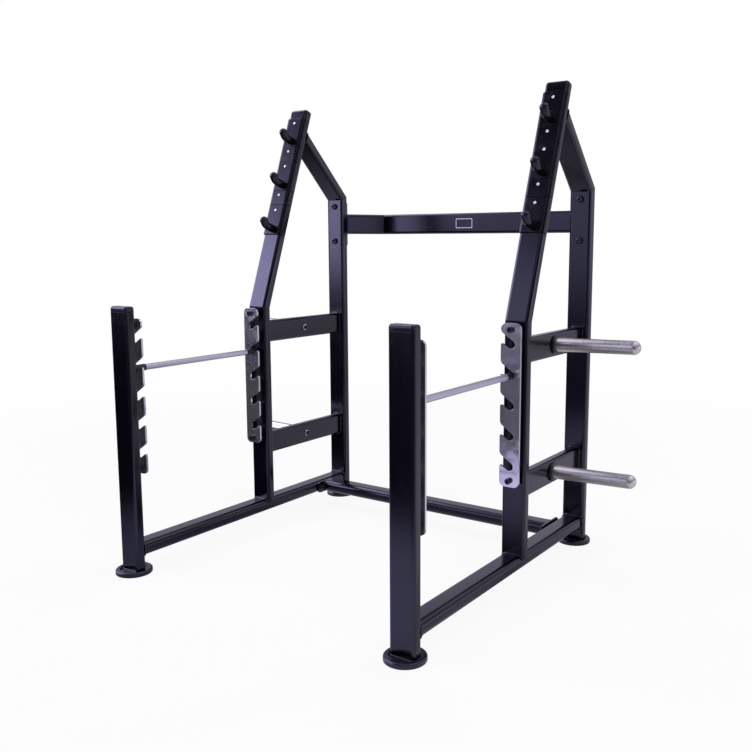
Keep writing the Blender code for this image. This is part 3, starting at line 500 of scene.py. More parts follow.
PLATED = Finish("satin plated steel", metallic=0.92)
brush = PLATED.noise(9, 6, (60, 60, 1.5))
cloud = PLATED.noise(14, 4)
PLATED.surface(
    colour=PLATED.mix(cloud, (0.60, 0.58, 0.57, 1), (0.70, 0.68, 0.66, 1)),
    roughness=0.10 + brush * 0.06 + cloud * 0.04,
    height=PLATED.noise(20, 1) + brush * 0.003,
    strength=0.90,
    distance=0.0014,
)
BLACK_OXIDE = Finish("black oxide bolt steel", metallic=0.35, specular_ior_level=0.5)
wear = BLACK_OXIDE.band(BLACK_OXIDE.noise(260, 4), 0.45, 0.75)
BLACK_OXIDE.surface(
    colour=BLACK_OXIDE.mix(wear * 0.6, (0.010, 0.010, 0.013, 1), (0.055, 0.055, 0.062, 1)),
    roughness=0.20 + wear * 0.2,
    height=wear,
    strength=0.10,
    distance=0.0002,
)


def cut_plate(shape, corners, thickness, place, edge):
    """A plate with rounded (x, y, radius) corners along its outline and broken edges."""
    old = set(shape.verts)
    points = [shape.verts.new((x, y, 0)) for x, y, _ in corners]
    outline = shape.faces.new(points)
    for number, (point, corner) in enumerate(zip(points, corners)):
        here = Vector(corner[:2])
        before = Vector(corners[number - 1][:2]) - here
        after = Vector(corners[(number + 1) % len(corners)][:2]) - here
        reach = corner[2] / tan(before.angle(after) / 2)
        bmesh.ops.bevel(
            shape,
            geom=[point],
            offset=reach,
            offset_type="OFFSET",
            profile=0.5,
            segments=max(2, round(corner[2] * CORNER_STEPS_PER_METRE)),
            affect="VERTICES",
            material=-1,
        )
    fresh = [v for v in shape.verts if v not in old]
    bmesh.ops.remove_doubles(shape, verts=fresh, dist=2 * TINY)
    faces = [f for f in shape.faces if all(v not in old for v in f.verts)]
    raised = bmesh.ops.extrude_face_region(shape, geom=faces)["geom"]
    top = [part for part in raised if isinstance(part, bmesh.types.BMVert)]
    bmesh.ops.translate(shape, vec=(0, 0, thickness), verts=top)
    faces = [f for f in shape.faces if all(v not in old for v in f.verts)]
    bmesh.ops.recalc_face_normals(shape, faces=faces)
    rims = level_edges(shape, old, 0) + level_edges(shape, old, thickness)
    bevel(shape, rims, edge, PLATE_EDGE_STEPS)
    put(shape, old, place)


def hexagon_socket(shape, old, across_corners):
    """Draws the ring of a turned recess out to a hexagon."""
    for vert in shape.verts:
        radius = hypot(vert.co.x, vert.co.y)
        if vert not in old and abs(radius - across_corners / 2) < TINY:
            angle = atan2(vert.co.y, vert.co.x) % (pi / 3) - pi / 6
            change = cos(pi / 6) / cos(angle)
            vert.co.x *= change
            vert.co.y *= change


def socket_bolt(shape, seat, outwards, radius, height, socket, edge):
    """The head of a socket screw, with its hexagonal recess."""
    old = set(shape.verts)
    mouth = socket / 2
    profile = [(0, 0), (radius, 0)] + arc(radius - edge, height - edge, edge, 0, 90, 4)
    profile += [(mouth + SOCKET_CHAMFER[0], height), (mouth, height - SOCKET_CHAMFER[1])]
    profile += [(mouth, height * SOCKET_FLOOR), (0, height * SOCKET_CENTRE)]
    turned(shape, profile, Matrix.Identity(4), BOLT_STEPS)
    hexagon_socket(shape, old, socket)
    put(shape, old, along(outwards, RIGHT if abs(outwards.x) < 0.9 else UP, seat))


def notched_outline():
    """A catch plate's corners, with X towards its mouths and Y up."""
    edge = PLATE_WIDTH / 2
    run = Vector((cos(NOTCH_SLOPE), sin(NOTCH_SLOPE)))
    rise = Vector((-run.y, run.x))
    corners = [(-edge, PLATE_TOP, PLATE_CORNER), (-edge, PLATE_BOTTOM, PLATE_CORNER)]
    corners.append((edge, PLATE_BOTTOM, PLATE_CORNER))
    for number in reversed(range(NOTCH_COUNT)):
        seat = Vector((0, NOTCH_TOP - NOTCH_PITCH * number))
        lower = seat - rise * NOTCH_RADIUS
        upper = seat + rise * NOTCH_RADIUS
        lip = lower + run * ((edge - lower.x) / run.x)
        tooth = upper + run * ((edge - upper.x) / run.x)
        corners.append((*lip, NOTCH_LIP))
        corners.append((*(lower - run * NOTCH_RADIUS), NOTCH_RADIUS))
        corners.append((*(upper - run * NOTCH_RADIUS), NOTCH_RADIUS))
        corners.append((*tooth, NOTCH_TOOTH))
    return corners + [(edge, PLATE_TOP, PLATE_CORNER)]


for word, side in SIDES.items():
    for where, outwards in (("front", BACK), ("main", -BACK)):
        node = f"{where}_catch_plate_{word}"
        upright = "front_post" if where == "front" else "main_upright"
        low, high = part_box(f"{upright}_{word}")
        x = (low.x + high.x) / 2
        wall = high.y if where == "front" else low.y
        y = wall + PLATE_STANDOFF if where == "front" else wall - PLATE_STANDOFF - PLATE_THICKNESS
        stand = Matrix(((-side, 0, 0, x), (0, 0, 1, y), (0, 1, 0, 0), (0, 0, 0, 1)))
        shape = bmesh.new()
        cut_plate(shape, notched_outline(), PLATE_THICKNESS, stand, PLATE_BREAK)
        bmesh.ops.recalc_face_normals(shape, faces=shape.faces[:])
        piece(f"{where}_notched_plate_{word}", shape, PLATED, "plate_plated", node)
        shape = bmesh.new()
        for height in PLATE_BOLT_HEIGHTS:
            face = y + (PLATE_THICKNESS if where == "front" else 0)
            socket_bolt(shape, Vector((x, face, height)), outwards, **PLATE_BOLT)
            base = Vector((x, wall, height)) + outwards * GAP
            length = PLATE_STANDOFF - GAP
            profile = [(0, 0), (SPACER_RADIUS, 0), (SPACER_RADIUS, length), (0, length)]
            turned(shape, profile, along(outwards, RIGHT, base), BOLT_STEPS)
        piece(f"{where}_plate_bolts_{word}", shape, BLACK_OXIDE, "flange_black")

# Safety rods. A bright plated round bar lies in a pair of notches on each side, with a black
# sleeve of dense plastic closed over each end, and lifts out along the notches' slope.

ROD_RADIUS = 0.011
SLEEVE_RADIUS = 0.0123
SLEEVE_LENGTH = 0.060
SLEEVE_EDGE = 0.0015
SLEEVE_MOUTH_EDGE = 0.0004
SLEEVE_END = 0.004
SLEEVE_CLEARANCE = 0.0002
ROD_EDGE = 0.001
ROD_STEPS = 40

BRIGHT = Finish("bright plated bar", metallic=0.80)
drawn = BRIGHT.noise(12, 4, (60, 1, 60))
BRIGHT.surface(
    colour=BRIGHT.mix(drawn, (0.48, 0.48, 0.50, 1), (0.60, 0.60, 0.62, 1)),
    roughness=0.26 + drawn * 0.12,
    height=drawn,
    strength=0.05,
    distance=0.0002,
)
SLEEVE = moulded(
    "dense black sleeve",
    dark=(0.0050, 0.0048, 0.0060, 1),
    light=(0.016, 0.016, 0.019, 1),
    gloss=0.38,
    grain=420,
    strength=0.20,
)

for word in SIDES:
    low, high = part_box(f"rod_sleeve_front_{word}")
    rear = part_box(f"rod_sleeve_rear_{word}")[1].y
    axis = Vector(((low.x + high.x) / 2, 0, (low.z + high.z) / 2))
    for where, start, run in (("front", low.y, BACK), ("rear", rear, -BACK)):
        profile = [(0, 0)] + arc(SLEEVE_RADIUS - SLEEVE_EDGE, SLEEVE_EDGE, SLEEVE_EDGE, -90, 0, 4)
        profile.append((SLEEVE_RADIUS, SLEEVE_LENGTH - SLEEVE_MOUTH_EDGE))
        profile.append((SLEEVE_RADIUS - SLEEVE_MOUTH_EDGE, SLEEVE_LENGTH))
        bore = ROD_RADIUS + SLEEVE_CLEARANCE
        profile += [(bore, SLEEVE_LENGTH), (bore, SLEEVE_END), (0, SLEEVE_END)]
        shape = bmesh.new()
        turned(shape, profile, along(run, RIGHT, axis + BACK * start), ROD_STEPS)
        node = f"rod_sleeve_{where}_{word}"
        piece(f"{where}_sleeve_{word}", shape, SLEEVE, "sleeve_black", node, body=f"rod_{word}")
    low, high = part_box(f"safety_rod_{word}")
    length = high.y - low.y
    profile = [(0, 0), (ROD_RADIUS - ROD_EDGE, 0), (ROD_RADIUS, ROD_EDGE)]
    profile += [(ROD_RADIUS, length - ROD_EDGE), (ROD_RADIUS - ROD_EDGE, length), (0, length)]
    shape = bmesh.new()
    turned(shape, profile, along(BACK, RIGHT, axis + BACK * low.y), ROD_STEPS)
    piece(f"rod_{word}_bar", shape, BRIGHT, "rod_plated", f"safety_rod_{word}", body=f"rod_{word}")

# Covers. Black nylon channels sheathe the front of each leaning tube and wrap its corners, so
# that a bar doesn't strike steel: a long one behind each hook and a short one between them.
# A zinc plated pan head screw holds each.

COVER_START = 0.313
COVER_LENGTH = 0.130
HOOK_PITCH = 0.195
COVER_THICKNESS = 0.007
COVER_SIDE = 0.003
COVER_WRAP = 0.020
LONG_SCREW = 0.105
SHORT_SCREW = 0.042
COVER_LIP = 0.001
COVER_EDGE = 0.0018
COVER_SCREW = {"radius": 0.0055, "height": 0.0025, "socket": 0.0045, "edge": 0.0015}
SEAM = 0.0008
LONG_COVER = ("hook_cover", COVER_LENGTH, LONG_SCREW)
SHORT_COVER = ("spacer_cover", HOOK_PITCH - COVER_LENGTH, SHORT_SCREW)
COVERS = [
    ("long_cover_low", "low", LONG_COVER),
    ("short_cover_low", "low", SHORT_COVER),
    ("long_cover_middle", "middle", LONG_COVER),
    ("short_cover_high", "high", SHORT_COVER),
    ("long_cover_high", "high", LONG_COVER),
]

SCREW_ZINC = Finish("zinc plated screw", metallic=0.55, specular_ior_level=0.6)
bloom = SCREW_ZINC.noise(300, 3)
SCREW_ZINC.surface(
    colour=SCREW_ZINC.mix(bloom, (0.74, 0.74, 0.80, 1), (0.90, 0.90, 0.94, 1)),
    roughness=0.30 + bloom * 0.15,
    height=bloom,
    strength=0.08,
    distance=0.0002,
)
COVER_NYLON = moulded(
    "black nylon cover",
    dark=(0.0022, 0.0018, 0.0026, 1),
    light=(0.009, 0.007, 0.009, 1),
    gloss=0.20,
    grain=700,
    strength=0.15,
    shine=0.27,
)


def on_front(word, height, out=0):
    """A place on the leaning tube's front, measured up that face from the bend."""
    start = -TUBE_SIZE[1] / 2 * tan(MAIN_LEAN / 2)
    return bend_of(word) + LEAN_UP * (height + start) - LEAN_BACK * (TUBE_SIZE[1] / 2 + out)


def channel_outline():
    """A cover's section, as corners round a tube that is centred on 0, 0."""
    back = -TUBE_SIZE[1] / 2 + COVER_WRAP
    inner = TUBE_SIZE[0] / 2 + GAP
    outer = inner + COVER_SIDE
    face = -TUBE_SIZE[1] / 2 - GAP
    front = face - COVER_THICKNESS
    round_out = TUBE_CORNER + COVER_SIDE
    right_half = [(outer, back, COVER_LIP), (inner, back, COVER_LIP), (inner, face, TUBE_CORNER)]
    left_half = [(-x, y, radius) for x, y, radius in reversed(right_half)]
    return right_half + left_half + [(-outer, front, round_out), (outer, front, round_out)]


def channel(name, word, start, length, node):
    """A cover, from a height up the leaning tube's front."""
    middle_line = on_front(word, start) + LEAN_BACK * TUBE_SIZE[1] / 2
    shape = bmesh.new()
    place = Matrix.Translation(middle_line) @ LEAN_TURN
    cut_plate(shape, channel_outline(), length - 2 * SEAM, place, COVER_EDGE)
    bmesh.ops.recalc_face_normals(shape, faces=shape.faces[:])
    piece(name, shape, COVER_NYLON, "plastic_black", node)


for word in SIDES:
    screws = bmesh.new()
    start = COVER_START
    for name, level, (family, length, screw_height) in COVERS:
        channel(f"{name}_{word}", word, start, length, f"{family}_{level}_{word}")
        seat = on_front(word, start + screw_height, COVER_THICKNESS + GAP)
        socket_bolt(screws, seat, -LEAN_BACK, **COVER_SCREW)
        start += length
    piece(f"cover_screws_{word}", screws, SCREW_ZINC, "rod_plated")

# Bar hooks. Three round bars, sleeved in dense black plastic, stand out through the covers of
# each leaning tube and turn up to a rounded knob that keeps the bar from rolling off.

HOOK_LEVELS = ("low", "middle", "high")
HOOK_RADIUS = 0.016
HOOK_STEPS = 36
HOOK_HEIGHT = 0.025
HOOK_STRAIGHT = 0.034
STRAIGHT_PARTS = (0.4, 0.6)
HOOK_BEND_RADIUS = 0.028
HOOK_BEND = radians(50)
HOOK_TIP = 0.006
KNOB_RADIUS = 0.017
KNOB_SWEEP = radians(88)
BEND_STEPS = 10
KNOB_STEPS = 8

HOOK_SLEEVE = moulded(
    "black hook sleeve",
    dark=(0.0022, 0.0022, 0.0028, 1),
    light=(0.012, 0.012, 0.014, 1),
    gloss=0.22,
    grain=350,
    strength=0.18,
)


def lengthen(shape, rim, change):
    """Extrudes a rim and moves the new one."""
    grown = bmesh.ops.extrude_edge_only(shape, edges=rim)["geom"]
    verts = {part for part in grown if isinstance(part, bmesh.types.BMVert)}
    bmesh.ops.transform(shape, matrix=change, verts=list(verts))
    edges = [part for part in grown if isinstance(part, bmesh.types.BMEdge)]
    return [edge for edge in edges if verts.issuperset(edge.verts)]


def hook(shape, place):
    """A hook whose Y runs into the tube and whose Z runs up it."""
    circle = bmesh.ops.create_circle(shape, segments=HOOK_STEPS, radius=HOOK_RADIUS)["verts"]
    bmesh.ops.rotate(shape, matrix=Matrix.Rotation(pi / 2, 3, "X"), verts=circle)
    rim = shape.edges[:]
    bmesh.ops.edgeloop_fill(shape, edges=rim)
    for share in STRAIGHT_PARTS:
        rim = lengthen(shape, rim, Matrix.Translation((0, -HOOK_STRAIGHT * share, 0)))
    pivot = Matrix.Translation((0, -HOOK_STRAIGHT, HOOK_BEND_RADIUS))
    turn = pivot @ Matrix.Rotation(-HOOK_BEND / BEND_STEPS, 4, "X") @ pivot.inverted()
    for _ in range(BEND_STEPS):
        rim = lengthen(shape, rim, turn)
    run = Vector((0, -cos(HOOK_BEND), sin(HOOK_BEND)))
    outwards = Vector((0, -sin(HOOK_BEND), -cos(HOOK_BEND)))
    bend_end = pivot.translation + outwards * HOOK_BEND_RADIUS
    spot = bend_end
    radius = HOOK_RADIUS
    for step in range(KNOB_STEPS + 1):
        angle = KNOB_SWEEP * step / KNOB_STEPS
        next_spot = bend_end + run * (HOOK_TIP + KNOB_RADIUS * sin(angle))
        next_radius = KNOB_RADIUS * cos(angle)
        scale = Matrix.Scale(next_radius / radius, 4)
        change = Matrix.Translation(next_spot) @ scale @ Matrix.Translation(-spot)
        rim = lengthen(shape, rim, change)
        spot, radius = next_spot, next_radius
    bmesh.ops.edgeloop_fill(shape, edges=rim)
    bmesh.ops.recalc_face_normals(shape, faces=shape.faces[:])
    bmesh.ops.transform(shape, matrix=place, verts=shape.verts[:])


for word in SIDES:
    for number, level in enumerate(HOOK_LEVELS):
        root = on_front(word, COVER_START + HOOK_PITCH * number + HOOK_HEIGHT, GAP)
        shape = bmesh.new()
        hook(shape, Matrix.Translation(root) @ LEAN_TURN)
        piece(f"hook_{level}_{word}", shape, HOOK_SLEEVE, "sleeve_black", f"bar_hook_{level}_{word}")

# Weight pegs. Hollow brushed stainless steel pegs with domed ends store the discs. Each fits
# over the boss of a black steel flange, which a stud clamps to the outside of a brace.

PEG_RADIUS = 0.025
PEG_LENGTH = 0.310
PEG_DOME = 0.024
PEG_TILT = radians(1.4)
PEG_END_CAP = 0.026
PEG_WALL = 0.003
PEG_EDGE = 0.0005
PEG_BORE_END = 0.004
PEG_STEPS = 64
DOME_STEPS = 12
GROOVE = 0.0006
BOSS_CLEARANCE = 0.001
BOSS_LENGTH = 0.0035
FLANGE_RADIUS = 0.035
FLANGE_THICKNESS = 0.008
FLANGE_EDGE = 0.002
FLANGE_SINK = 0.001
FLANGE_STEPS = 56
STUD_HEAD = {"radius": 0.0105, "height": 0.008, "socket": 0.009, "edge": 0.0025}
WASHER_RADIUS = 0.0128
WASHER_TOP = 0.0024
WASHER_EDGE = 0.0008
WASHER_LIFT = 0.0002
WASHER_STEPS = 40

STAINLESS = Finish("brushed stainless steel", metallic=0.85)
rings = STAINLESS.noise(8, 5, (110, 2, 2))
smears = STAINLESS.noise(16, 4)
STAINLESS.surface(
    colour=STAINLESS.mix(rings * 0.6 + smears * 0.4, (0.42, 0.40, 0.33, 1), (0.74, 0.71, 0.60, 1)),
    roughness=0.20 + rings * 0.14 + smears * 0.06,
    height=rings,
    strength=0.10,
    distance=0.0003,
)

for word, side in SIDES.items():
    for level in ("upper", "lower"):
        low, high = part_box(f"{level}_brace_{word}")
        middle = (low + high) / 2
        outwards = Vector((side * cos(PEG_TILT), 0, sin(PEG_TILT)))
        place = along(outwards, BACK, middle)
        face = (TUBE_SIZE[1] / 2 + GAP) / cos(PEG_TILT)
        root = face + FLANGE_THICKNESS
        start = root + GAP
        end = start + PEG_LENGTH
        seam = end - PEG_END_CAP
        bore = PEG_RADIUS - PEG_WALL
        profile = [(0, root + PEG_BORE_END), (bore, root + PEG_BORE_END), (bore, start)]
        profile += [(PEG_RADIUS - PEG_EDGE, start), (PEG_RADIUS, start + PEG_EDGE)]
        profile += [(PEG_RADIUS, seam - GROOVE), (PEG_RADIUS - GROOVE, seam - GROOVE / 2)]
        profile += [(PEG_RADIUS, seam), (PEG_RADIUS, end - PEG_DOME)]
        for step in range(1, DOME_STEPS):
            angle = pi / 2 * step / DOME_STEPS
            profile.append((PEG_RADIUS * cos(angle), end - PEG_DOME * (1 - sin(angle))))
        profile.append((0, end))
        shape = bmesh.new()
        turned(shape, profile, place, PEG_STEPS)
        node = f"weight_peg_{level}_{word}"
        piece(f"{level}_peg_{word}", shape, STAINLESS, "peg_stainless", node)

        profile = [(0, face - FLANGE_SINK), (FLANGE_RADIUS, face - FLANGE_SINK)]
        profile += arc(FLANGE_RADIUS - FLANGE_EDGE, root - FLANGE_EDGE, FLANGE_EDGE, 0, 90, 4)
        boss = bore - BOSS_CLEARANCE
        profile += [(boss, root), (boss, root + BOSS_LENGTH), (0, root + BOSS_LENGTH)]
        shape = bmesh.new()
        turned(shape, profile, place, FLANGE_STEPS)
        head_seat = middle - RIGHT * side * TUBE_SIZE[1] / 2
        socket_bolt(shape, head_seat, -outwards, **STUD_HEAD)
        node = f"peg_flange_{level}_{word}"
        piece(f"{level}_flange_{word}", shape, BLACK_OXIDE, "flange_black", node)

        profile = [(0, WASHER_LIFT), (WASHER_RADIUS, WASHER_LIFT)]
        rim = (WASHER_RADIUS - WASHER_EDGE, WASHER_TOP - WASHER_EDGE, WASHER_EDGE)
        profile += arc(*rim, 0, 90, 3) + [(0, WASHER_TOP)]
        shape = bmesh.new()
        turned(shape, profile, along(-RIGHT * side, BACK, head_seat), WASHER_STEPS)
        piece(f"{level}_stud_washer_{word}", shape, SCREW_ZINC, "rod_plated")

# Upper crossbeam. One tube, mitred twice so that it stands back behind the rear uprights, is
# welded to a flat flange at each end. Two bolts and nuts fix each flange. A small black plate
# with a bright rim sits on the front.

FLANGE_SIZE = (0.074, 0.200)
FLANGE_CORNER = 0.010
FLANGE_BREAK = 0.001
UPRIGHT_BOLT = {"radius": 0.0132, "height": 0.0095, "socket": 0.0100, "edge": 0.0040}
FLANGE_BOLT_LIFT = 0.078
BEAM_INSET = 0.116
NUT_RADIUS = 0.0098
NUT_HEIGHT = 0.008
NUT_CHAMFER = 0.001
NUT_SIDES = 6
THREAD_RADIUS = 0.005
THREAD_LENGTH = 0.004
THREAD_CHAMFER = (0.0008, 0.0005)
THREAD_STEPS = 24
BLANK_SIZE = (0.084, 0.042)
BLANK_X = -0.035
BLANK_RIM = 0.003
RIM_LAYER = {"radius": 0.003, "thickness": 0.0012, "edge": 0.0003}
BLANK_LAYER = {"radius": 0.002, "thickness": 0.0016, "edge": 0.0002}


def rectangle(width, height, radius):
    """The corners of a plate, for cut_plate."""
    ways = ((1, 1), (-1, 1), (-1, -1), (1, -1))
    return [(x * width / 2, y * height / 2, radius) for x, y in ways]


def join(shape, other):
    """Adds another shape to this one."""
    mesh = bpy.data.meshes.new("part")
    other.to_mesh(mesh)
    other.free()
    shape.from_mesh(mesh)
    bpy.data.meshes.remove(mesh)


low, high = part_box("upper_crossbeam")
rear_low, rear_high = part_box("rear_upright_right")
flange_x = (rear_low.x + rear_high.x) / 2
seat_y = rear_high.y + GAP
weld_y = seat_y + FLANGE_THICKNESS / 2
beam_y = high.y - TUBE_SIZE[1] / 2
beam_z = (low.z + high.z) / 2
inner_x = flange_x - BEAM_INSET
turns = ((-flange_x, weld_y), (-inner_x, beam_y), (inner_x, beam_y), (flange_x, weld_y))
path = [Vector((x, y, beam_z)) for x, y in turns]
runs = [(after - before).normalized() for before, after in zip(path, path[1:])]
bends = [(before + after).normalized() for before, after in zip(runs, runs[1:])]
mitres = [BACK] + bends + [-BACK]
shape = bmesh.new()
for start, end, planes in zip(path, path[1:], zip(mitres, mitres[1:])):
    join(shape, tube(TUBE_SIZE, start, end, UP, planes))
for word, side in SIDES.items():
    place = along(BACK, RIGHT, Vector((side * flange_x, seat_y, beam_z)))
    outline = rectangle(*FLANGE_SIZE, FLANGE_CORNER)
    cut_plate(shape, outline, FLANGE_THICKNESS, place, FLANGE_BREAK)
    joint = Vector((side * flange_x, seat_y + FLANGE_THICKNESS, beam_z))
    run = runs[0] if side < 0 else -runs[-1]
    joint += run * ((FLANGE_THICKNESS / 2) / run.y)
    weld(f"beam_weld_{word}", TUBE_SIZE, joint, run, UP, BACK)
piece("crossbeam_upper", shape, POWDER_COAT, "steel_black", "upper_crossbeam")
shape = bmesh.new()
for word, side in SIDES.items():
    for lift in (-FLANGE_BOLT_LIFT, FLANGE_BOLT_LIFT):
        head = Vector((side * flange_x, rear_low.y - GAP, beam_z + lift))
        socket_bolt(shape, head, -BACK, **UPRIGHT_BOLT)
        back = Vector((side * flange_x, seat_y + FLANGE_THICKNESS, beam_z + lift))
        place = along(BACK, RIGHT, back)
        profile = [(0, 0), (NUT_RADIUS, 0), (NUT_RADIUS, NUT_HEIGHT - NUT_CHAMFER)]
        profile += [(NUT_RADIUS - NUT_CHAMFER, NUT_HEIGHT), (0, NUT_HEIGHT)]
        turned(shape, profile, place, NUT_SIDES)
        end = NUT_HEIGHT + THREAD_LENGTH
        profile = [(0, 0), (THREAD_RADIUS, NUT_HEIGHT), (THREAD_RADIUS, end - THREAD_CHAMFER[1])]
        profile += [(THREAD_RADIUS - THREAD_CHAMFER[0], end), (0, end)]
        turned(shape, profile, place, THREAD_STEPS)
piece("crossbeam_bolts", shape, BLACK_OXIDE, "flange_black")


def blank_layer(name, width, height, radius, thickness, edge, finish, slot):
    """One layer of the small plate on the front of the beam."""
    place = along(-BACK, RIGHT, Vector((BLANK_X, beam_y - TUBE_SIZE[1] / 2, beam_z)))
    shape = bmesh.new()
    cut_plate(shape, rectangle(width, height, radius), thickness, place, edge)
    piece(name, shape, finish, slot)


blank_layer("blank_plate_rim", *BLANK_SIZE, **RIM_LAYER, finish=PLATED, slot="plate_plated")
inside = [size - 2 * BLANK_RIM for size in BLANK_SIZE]
blank_layer("blank_plate", *inside, **BLANK_LAYER, finish=NYLON, slot="plastic_black")

# Lower crossbeam. A straight tube between the base tubes, welded to a long flange at each
# end, with two bolts through each flange into the base tube.

LOWER_FLANGE = (0.150, 0.050)
LOWER_BOLT = {"radius": 0.010, "height": 0.006, "socket": 0.0085, "edge": 0.0035}
LOWER_BOLT_SHIFT = 0.059

low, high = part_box("lower_crossbeam")
base_low, base_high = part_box("base_tube_right")
seat_x = base_low.x - GAP
beam_y = (low.y + high.y) / 2
beam_z = (base_low.z + base_high.z) / 2
ends = [Vector((side * (seat_x - FLANGE_THICKNESS), beam_y, beam_z)) for side in SIDES.values()]
shape = tube(BASE_SIZE, *ends, BACK, corner=BASE_CORNER)
bolts = bmesh.new()
for word, side in SIDES.items():
    inwards = -RIGHT * side
    seat = Vector((side * seat_x, beam_y, beam_z))
    outline = rectangle(*LOWER_FLANGE, FLANGE_CORNER)
    cut_plate(shape, outline, FLANGE_THICKNESS, along(inwards, BACK, seat), FLANGE_BREAK)
    inner = (BASE_SIZE[0], BASE_SIZE[1] - 2 * WELD)
    joint = seat + inwards * FLANGE_THICKNESS
    weld(f"lower_beam_weld_{word}", inner, joint, inwards, BACK, corner=BASE_CORNER - WELD)
    for shift in (-LOWER_BOLT_SHIFT, LOWER_BOLT_SHIFT):
        socket_bolt(bolts, joint + BACK * shift, inwards, **LOWER_BOLT)
piece("crossbeam_lower", shape, POWDER_COAT, "steel_black", "lower_crossbeam")
piece("lower_beam_bolts", bolts, BLACK_OXIDE, "flange_black")

# Floor and studio. The camera sees a plain white floor and backdrop, as in the photograph.
# Gloss mirrors a studio painted on both instead: pale behind the rack and beside it, and dim
# with soft boxes on the camera's side. Four large lamps give the rest of the light.

FLOOR_SIZE = 60
FLOOR_DROP = 0.0005
FLOOR_COLOUR = (0.86, 0.86, 0.87, 1)
WHITE = (1, 1, 1, 1)
LAVENDER = (0.60, 0.58, 1.0, 1)
PALE_BLUE = (0.78, 0.76, 1.0, 1)
POOL_LIGHT = 1.25
INSIDE_LIGHT = 0.40
HAZE_LIGHT = 0.15
HORIZON_LIGHT = 1.6
DIM_LIGHT = 0.02

shape = bmesh.new()
bmesh.ops.create_grid(shape, x_segments=1, y_segments=1, size=FLOOR_SIZE / 2)
floor_mesh = bpy.data.meshes.new("studio_floor")
shape.to_mesh(floor_mesh)
shape.free()
floor = bpy.data.objects.new("studio_floor", floor_mesh)
bpy.context.scene.collection.objects.link(floor)
floor.location.z = -FLOOR_DROP
PALE = Finish("pale studio floor", base_color=FLOOR_COLOUR, roughness=0.9, specular_ior_level=0.0)


def ray_is(finish, kind):
    """1 where light arrives on this kind of ray, else 0."""
    return finish.node("ShaderNodeLightPath", out=kind)


def shining(finish, kind, strength, colour):
    return finish.node(kind, None, {"Color": colour, "Strength": strength})


def blend(finish, share, first, second):
    return finish.node("ShaderNodeMixShader", None, {0: share, 1: first, 2: second})


def vector_maths(finish, operation, values, out="Vector"):
    return finish.node("ShaderNodeVectorMath", {"operation": operation}, values, out)


def reach(centre, radii):
    """How far a place on the floor is from a centre, 1 on the ellipse with these radii."""
    off = vector_maths(PALE, "SUBTRACT", {0: PALE.place, 1: centre})
    scaled = vector_maths(PALE, "DIVIDE", {0: off, 1: radii})
    return vector_maths(PALE, "LENGTH", {0: scaled}, "Value")


def patch(centre, radii, full, none):
    """1 well inside an ellipse on the floor, falling to 0 between two shares of its radii."""
    return 1 - PALE.band(reach(centre, radii), full, none)


distance = reach((0, 0, 0), (1, 1, 1))
far = PALE.band(distance, 1.6, 5.0)
glow = shining(PALE, "ShaderNodeEmission", 1.0, WHITE)
direct = ray_is(PALE, "Is Camera Ray") + ray_is(PALE, "Is Transmission Ray")
shaded = Value(PALE, PALE.shader.outputs[0])
seen = blend(PALE, direct * (0.90 + far * 0.10), shaded, glow)

aslant = PALE.band(PALE.towards((0.83, -0.55, 0)), 0.52, 0.82)
right = aslant * PALE.band(PALE.towards((1, 0, 0)), 0.45, 0.72)
rear = PALE.band(PALE.towards((0.10, 1, 0)) + right * 0.9, -0.3, 0.5)
# A painted shadow: the floor that gloss sees is dimmed in a patch beside the right base tube, where the
# rack's own shadow falls.
painted_shadow_beside_base = patch((0.76, 0.05, 0), (0.28, 0.95, 1), 0.45, 1.0)
pale = rear * (0.80 - far * 0.22 + right * (0.16 + far * 0.19)) * (1 - painted_shadow_beside_base * 0.45)
# Painted light on the floor, which only gloss sees: a pool in front of the rack, a weaker one inside
# it, a haze off to the right front and a bright band far off.
pool = patch((0.45, -1.15, 0), (2.0, 0.9, 1), 0.25, 1.05)
inside = patch((-0.38, -0.25, 0), (0.45, 0.55, 1), 0.40, 1.0)
haze = PALE.band(PALE.towards((1, -0.75, 0)), 0.9, 2.0) * (1 - rear)
horizon = PALE.band(distance, 16, 26) * (1 - rear)
near = pool * POOL_LIGHT + inside * INSIDE_LIGHT + haze * HAZE_LIGHT + horizon * HORIZON_LIGHT
tint = PALE.mix(rear, LAVENDER, PALE_BLUE)
lit = DIM_LIGHT + near.maths("MAXIMUM", near, pale)
mirrored = shining(PALE, "ShaderNodeEmission", lit, tint)
last = blend(PALE, ray_is(PALE, "Is Glossy Ray"), seen, mirrored)
PALE.tree.links.new(last.socket, PALE.tree.nodes["Material Output"].inputs["Surface"])
PALE.material.cycles.emission_sampling = "NONE"
floor_mesh.materials.append(PALE.material)

BESIDE_LIGHT = 1.5
STRIP_LIGHT = 5.2
WIDE_LIGHT = 1.50
CEILING_LIGHT = 5.5
HIGH_LIGHT = 0.50
CROWN_LIGHT = 0.9
ROOM_LIGHT = 0.42
ROOM_COLOUR = (0.80, 0.81, 0.90, 1)


class Studio(Finish):
    """The light round the rack, which varies with direction."""

    def __init__(self, world):
        self.tree = world.node_tree
        self.place = self.node("ShaderNodeTexCoord", out="Generated")


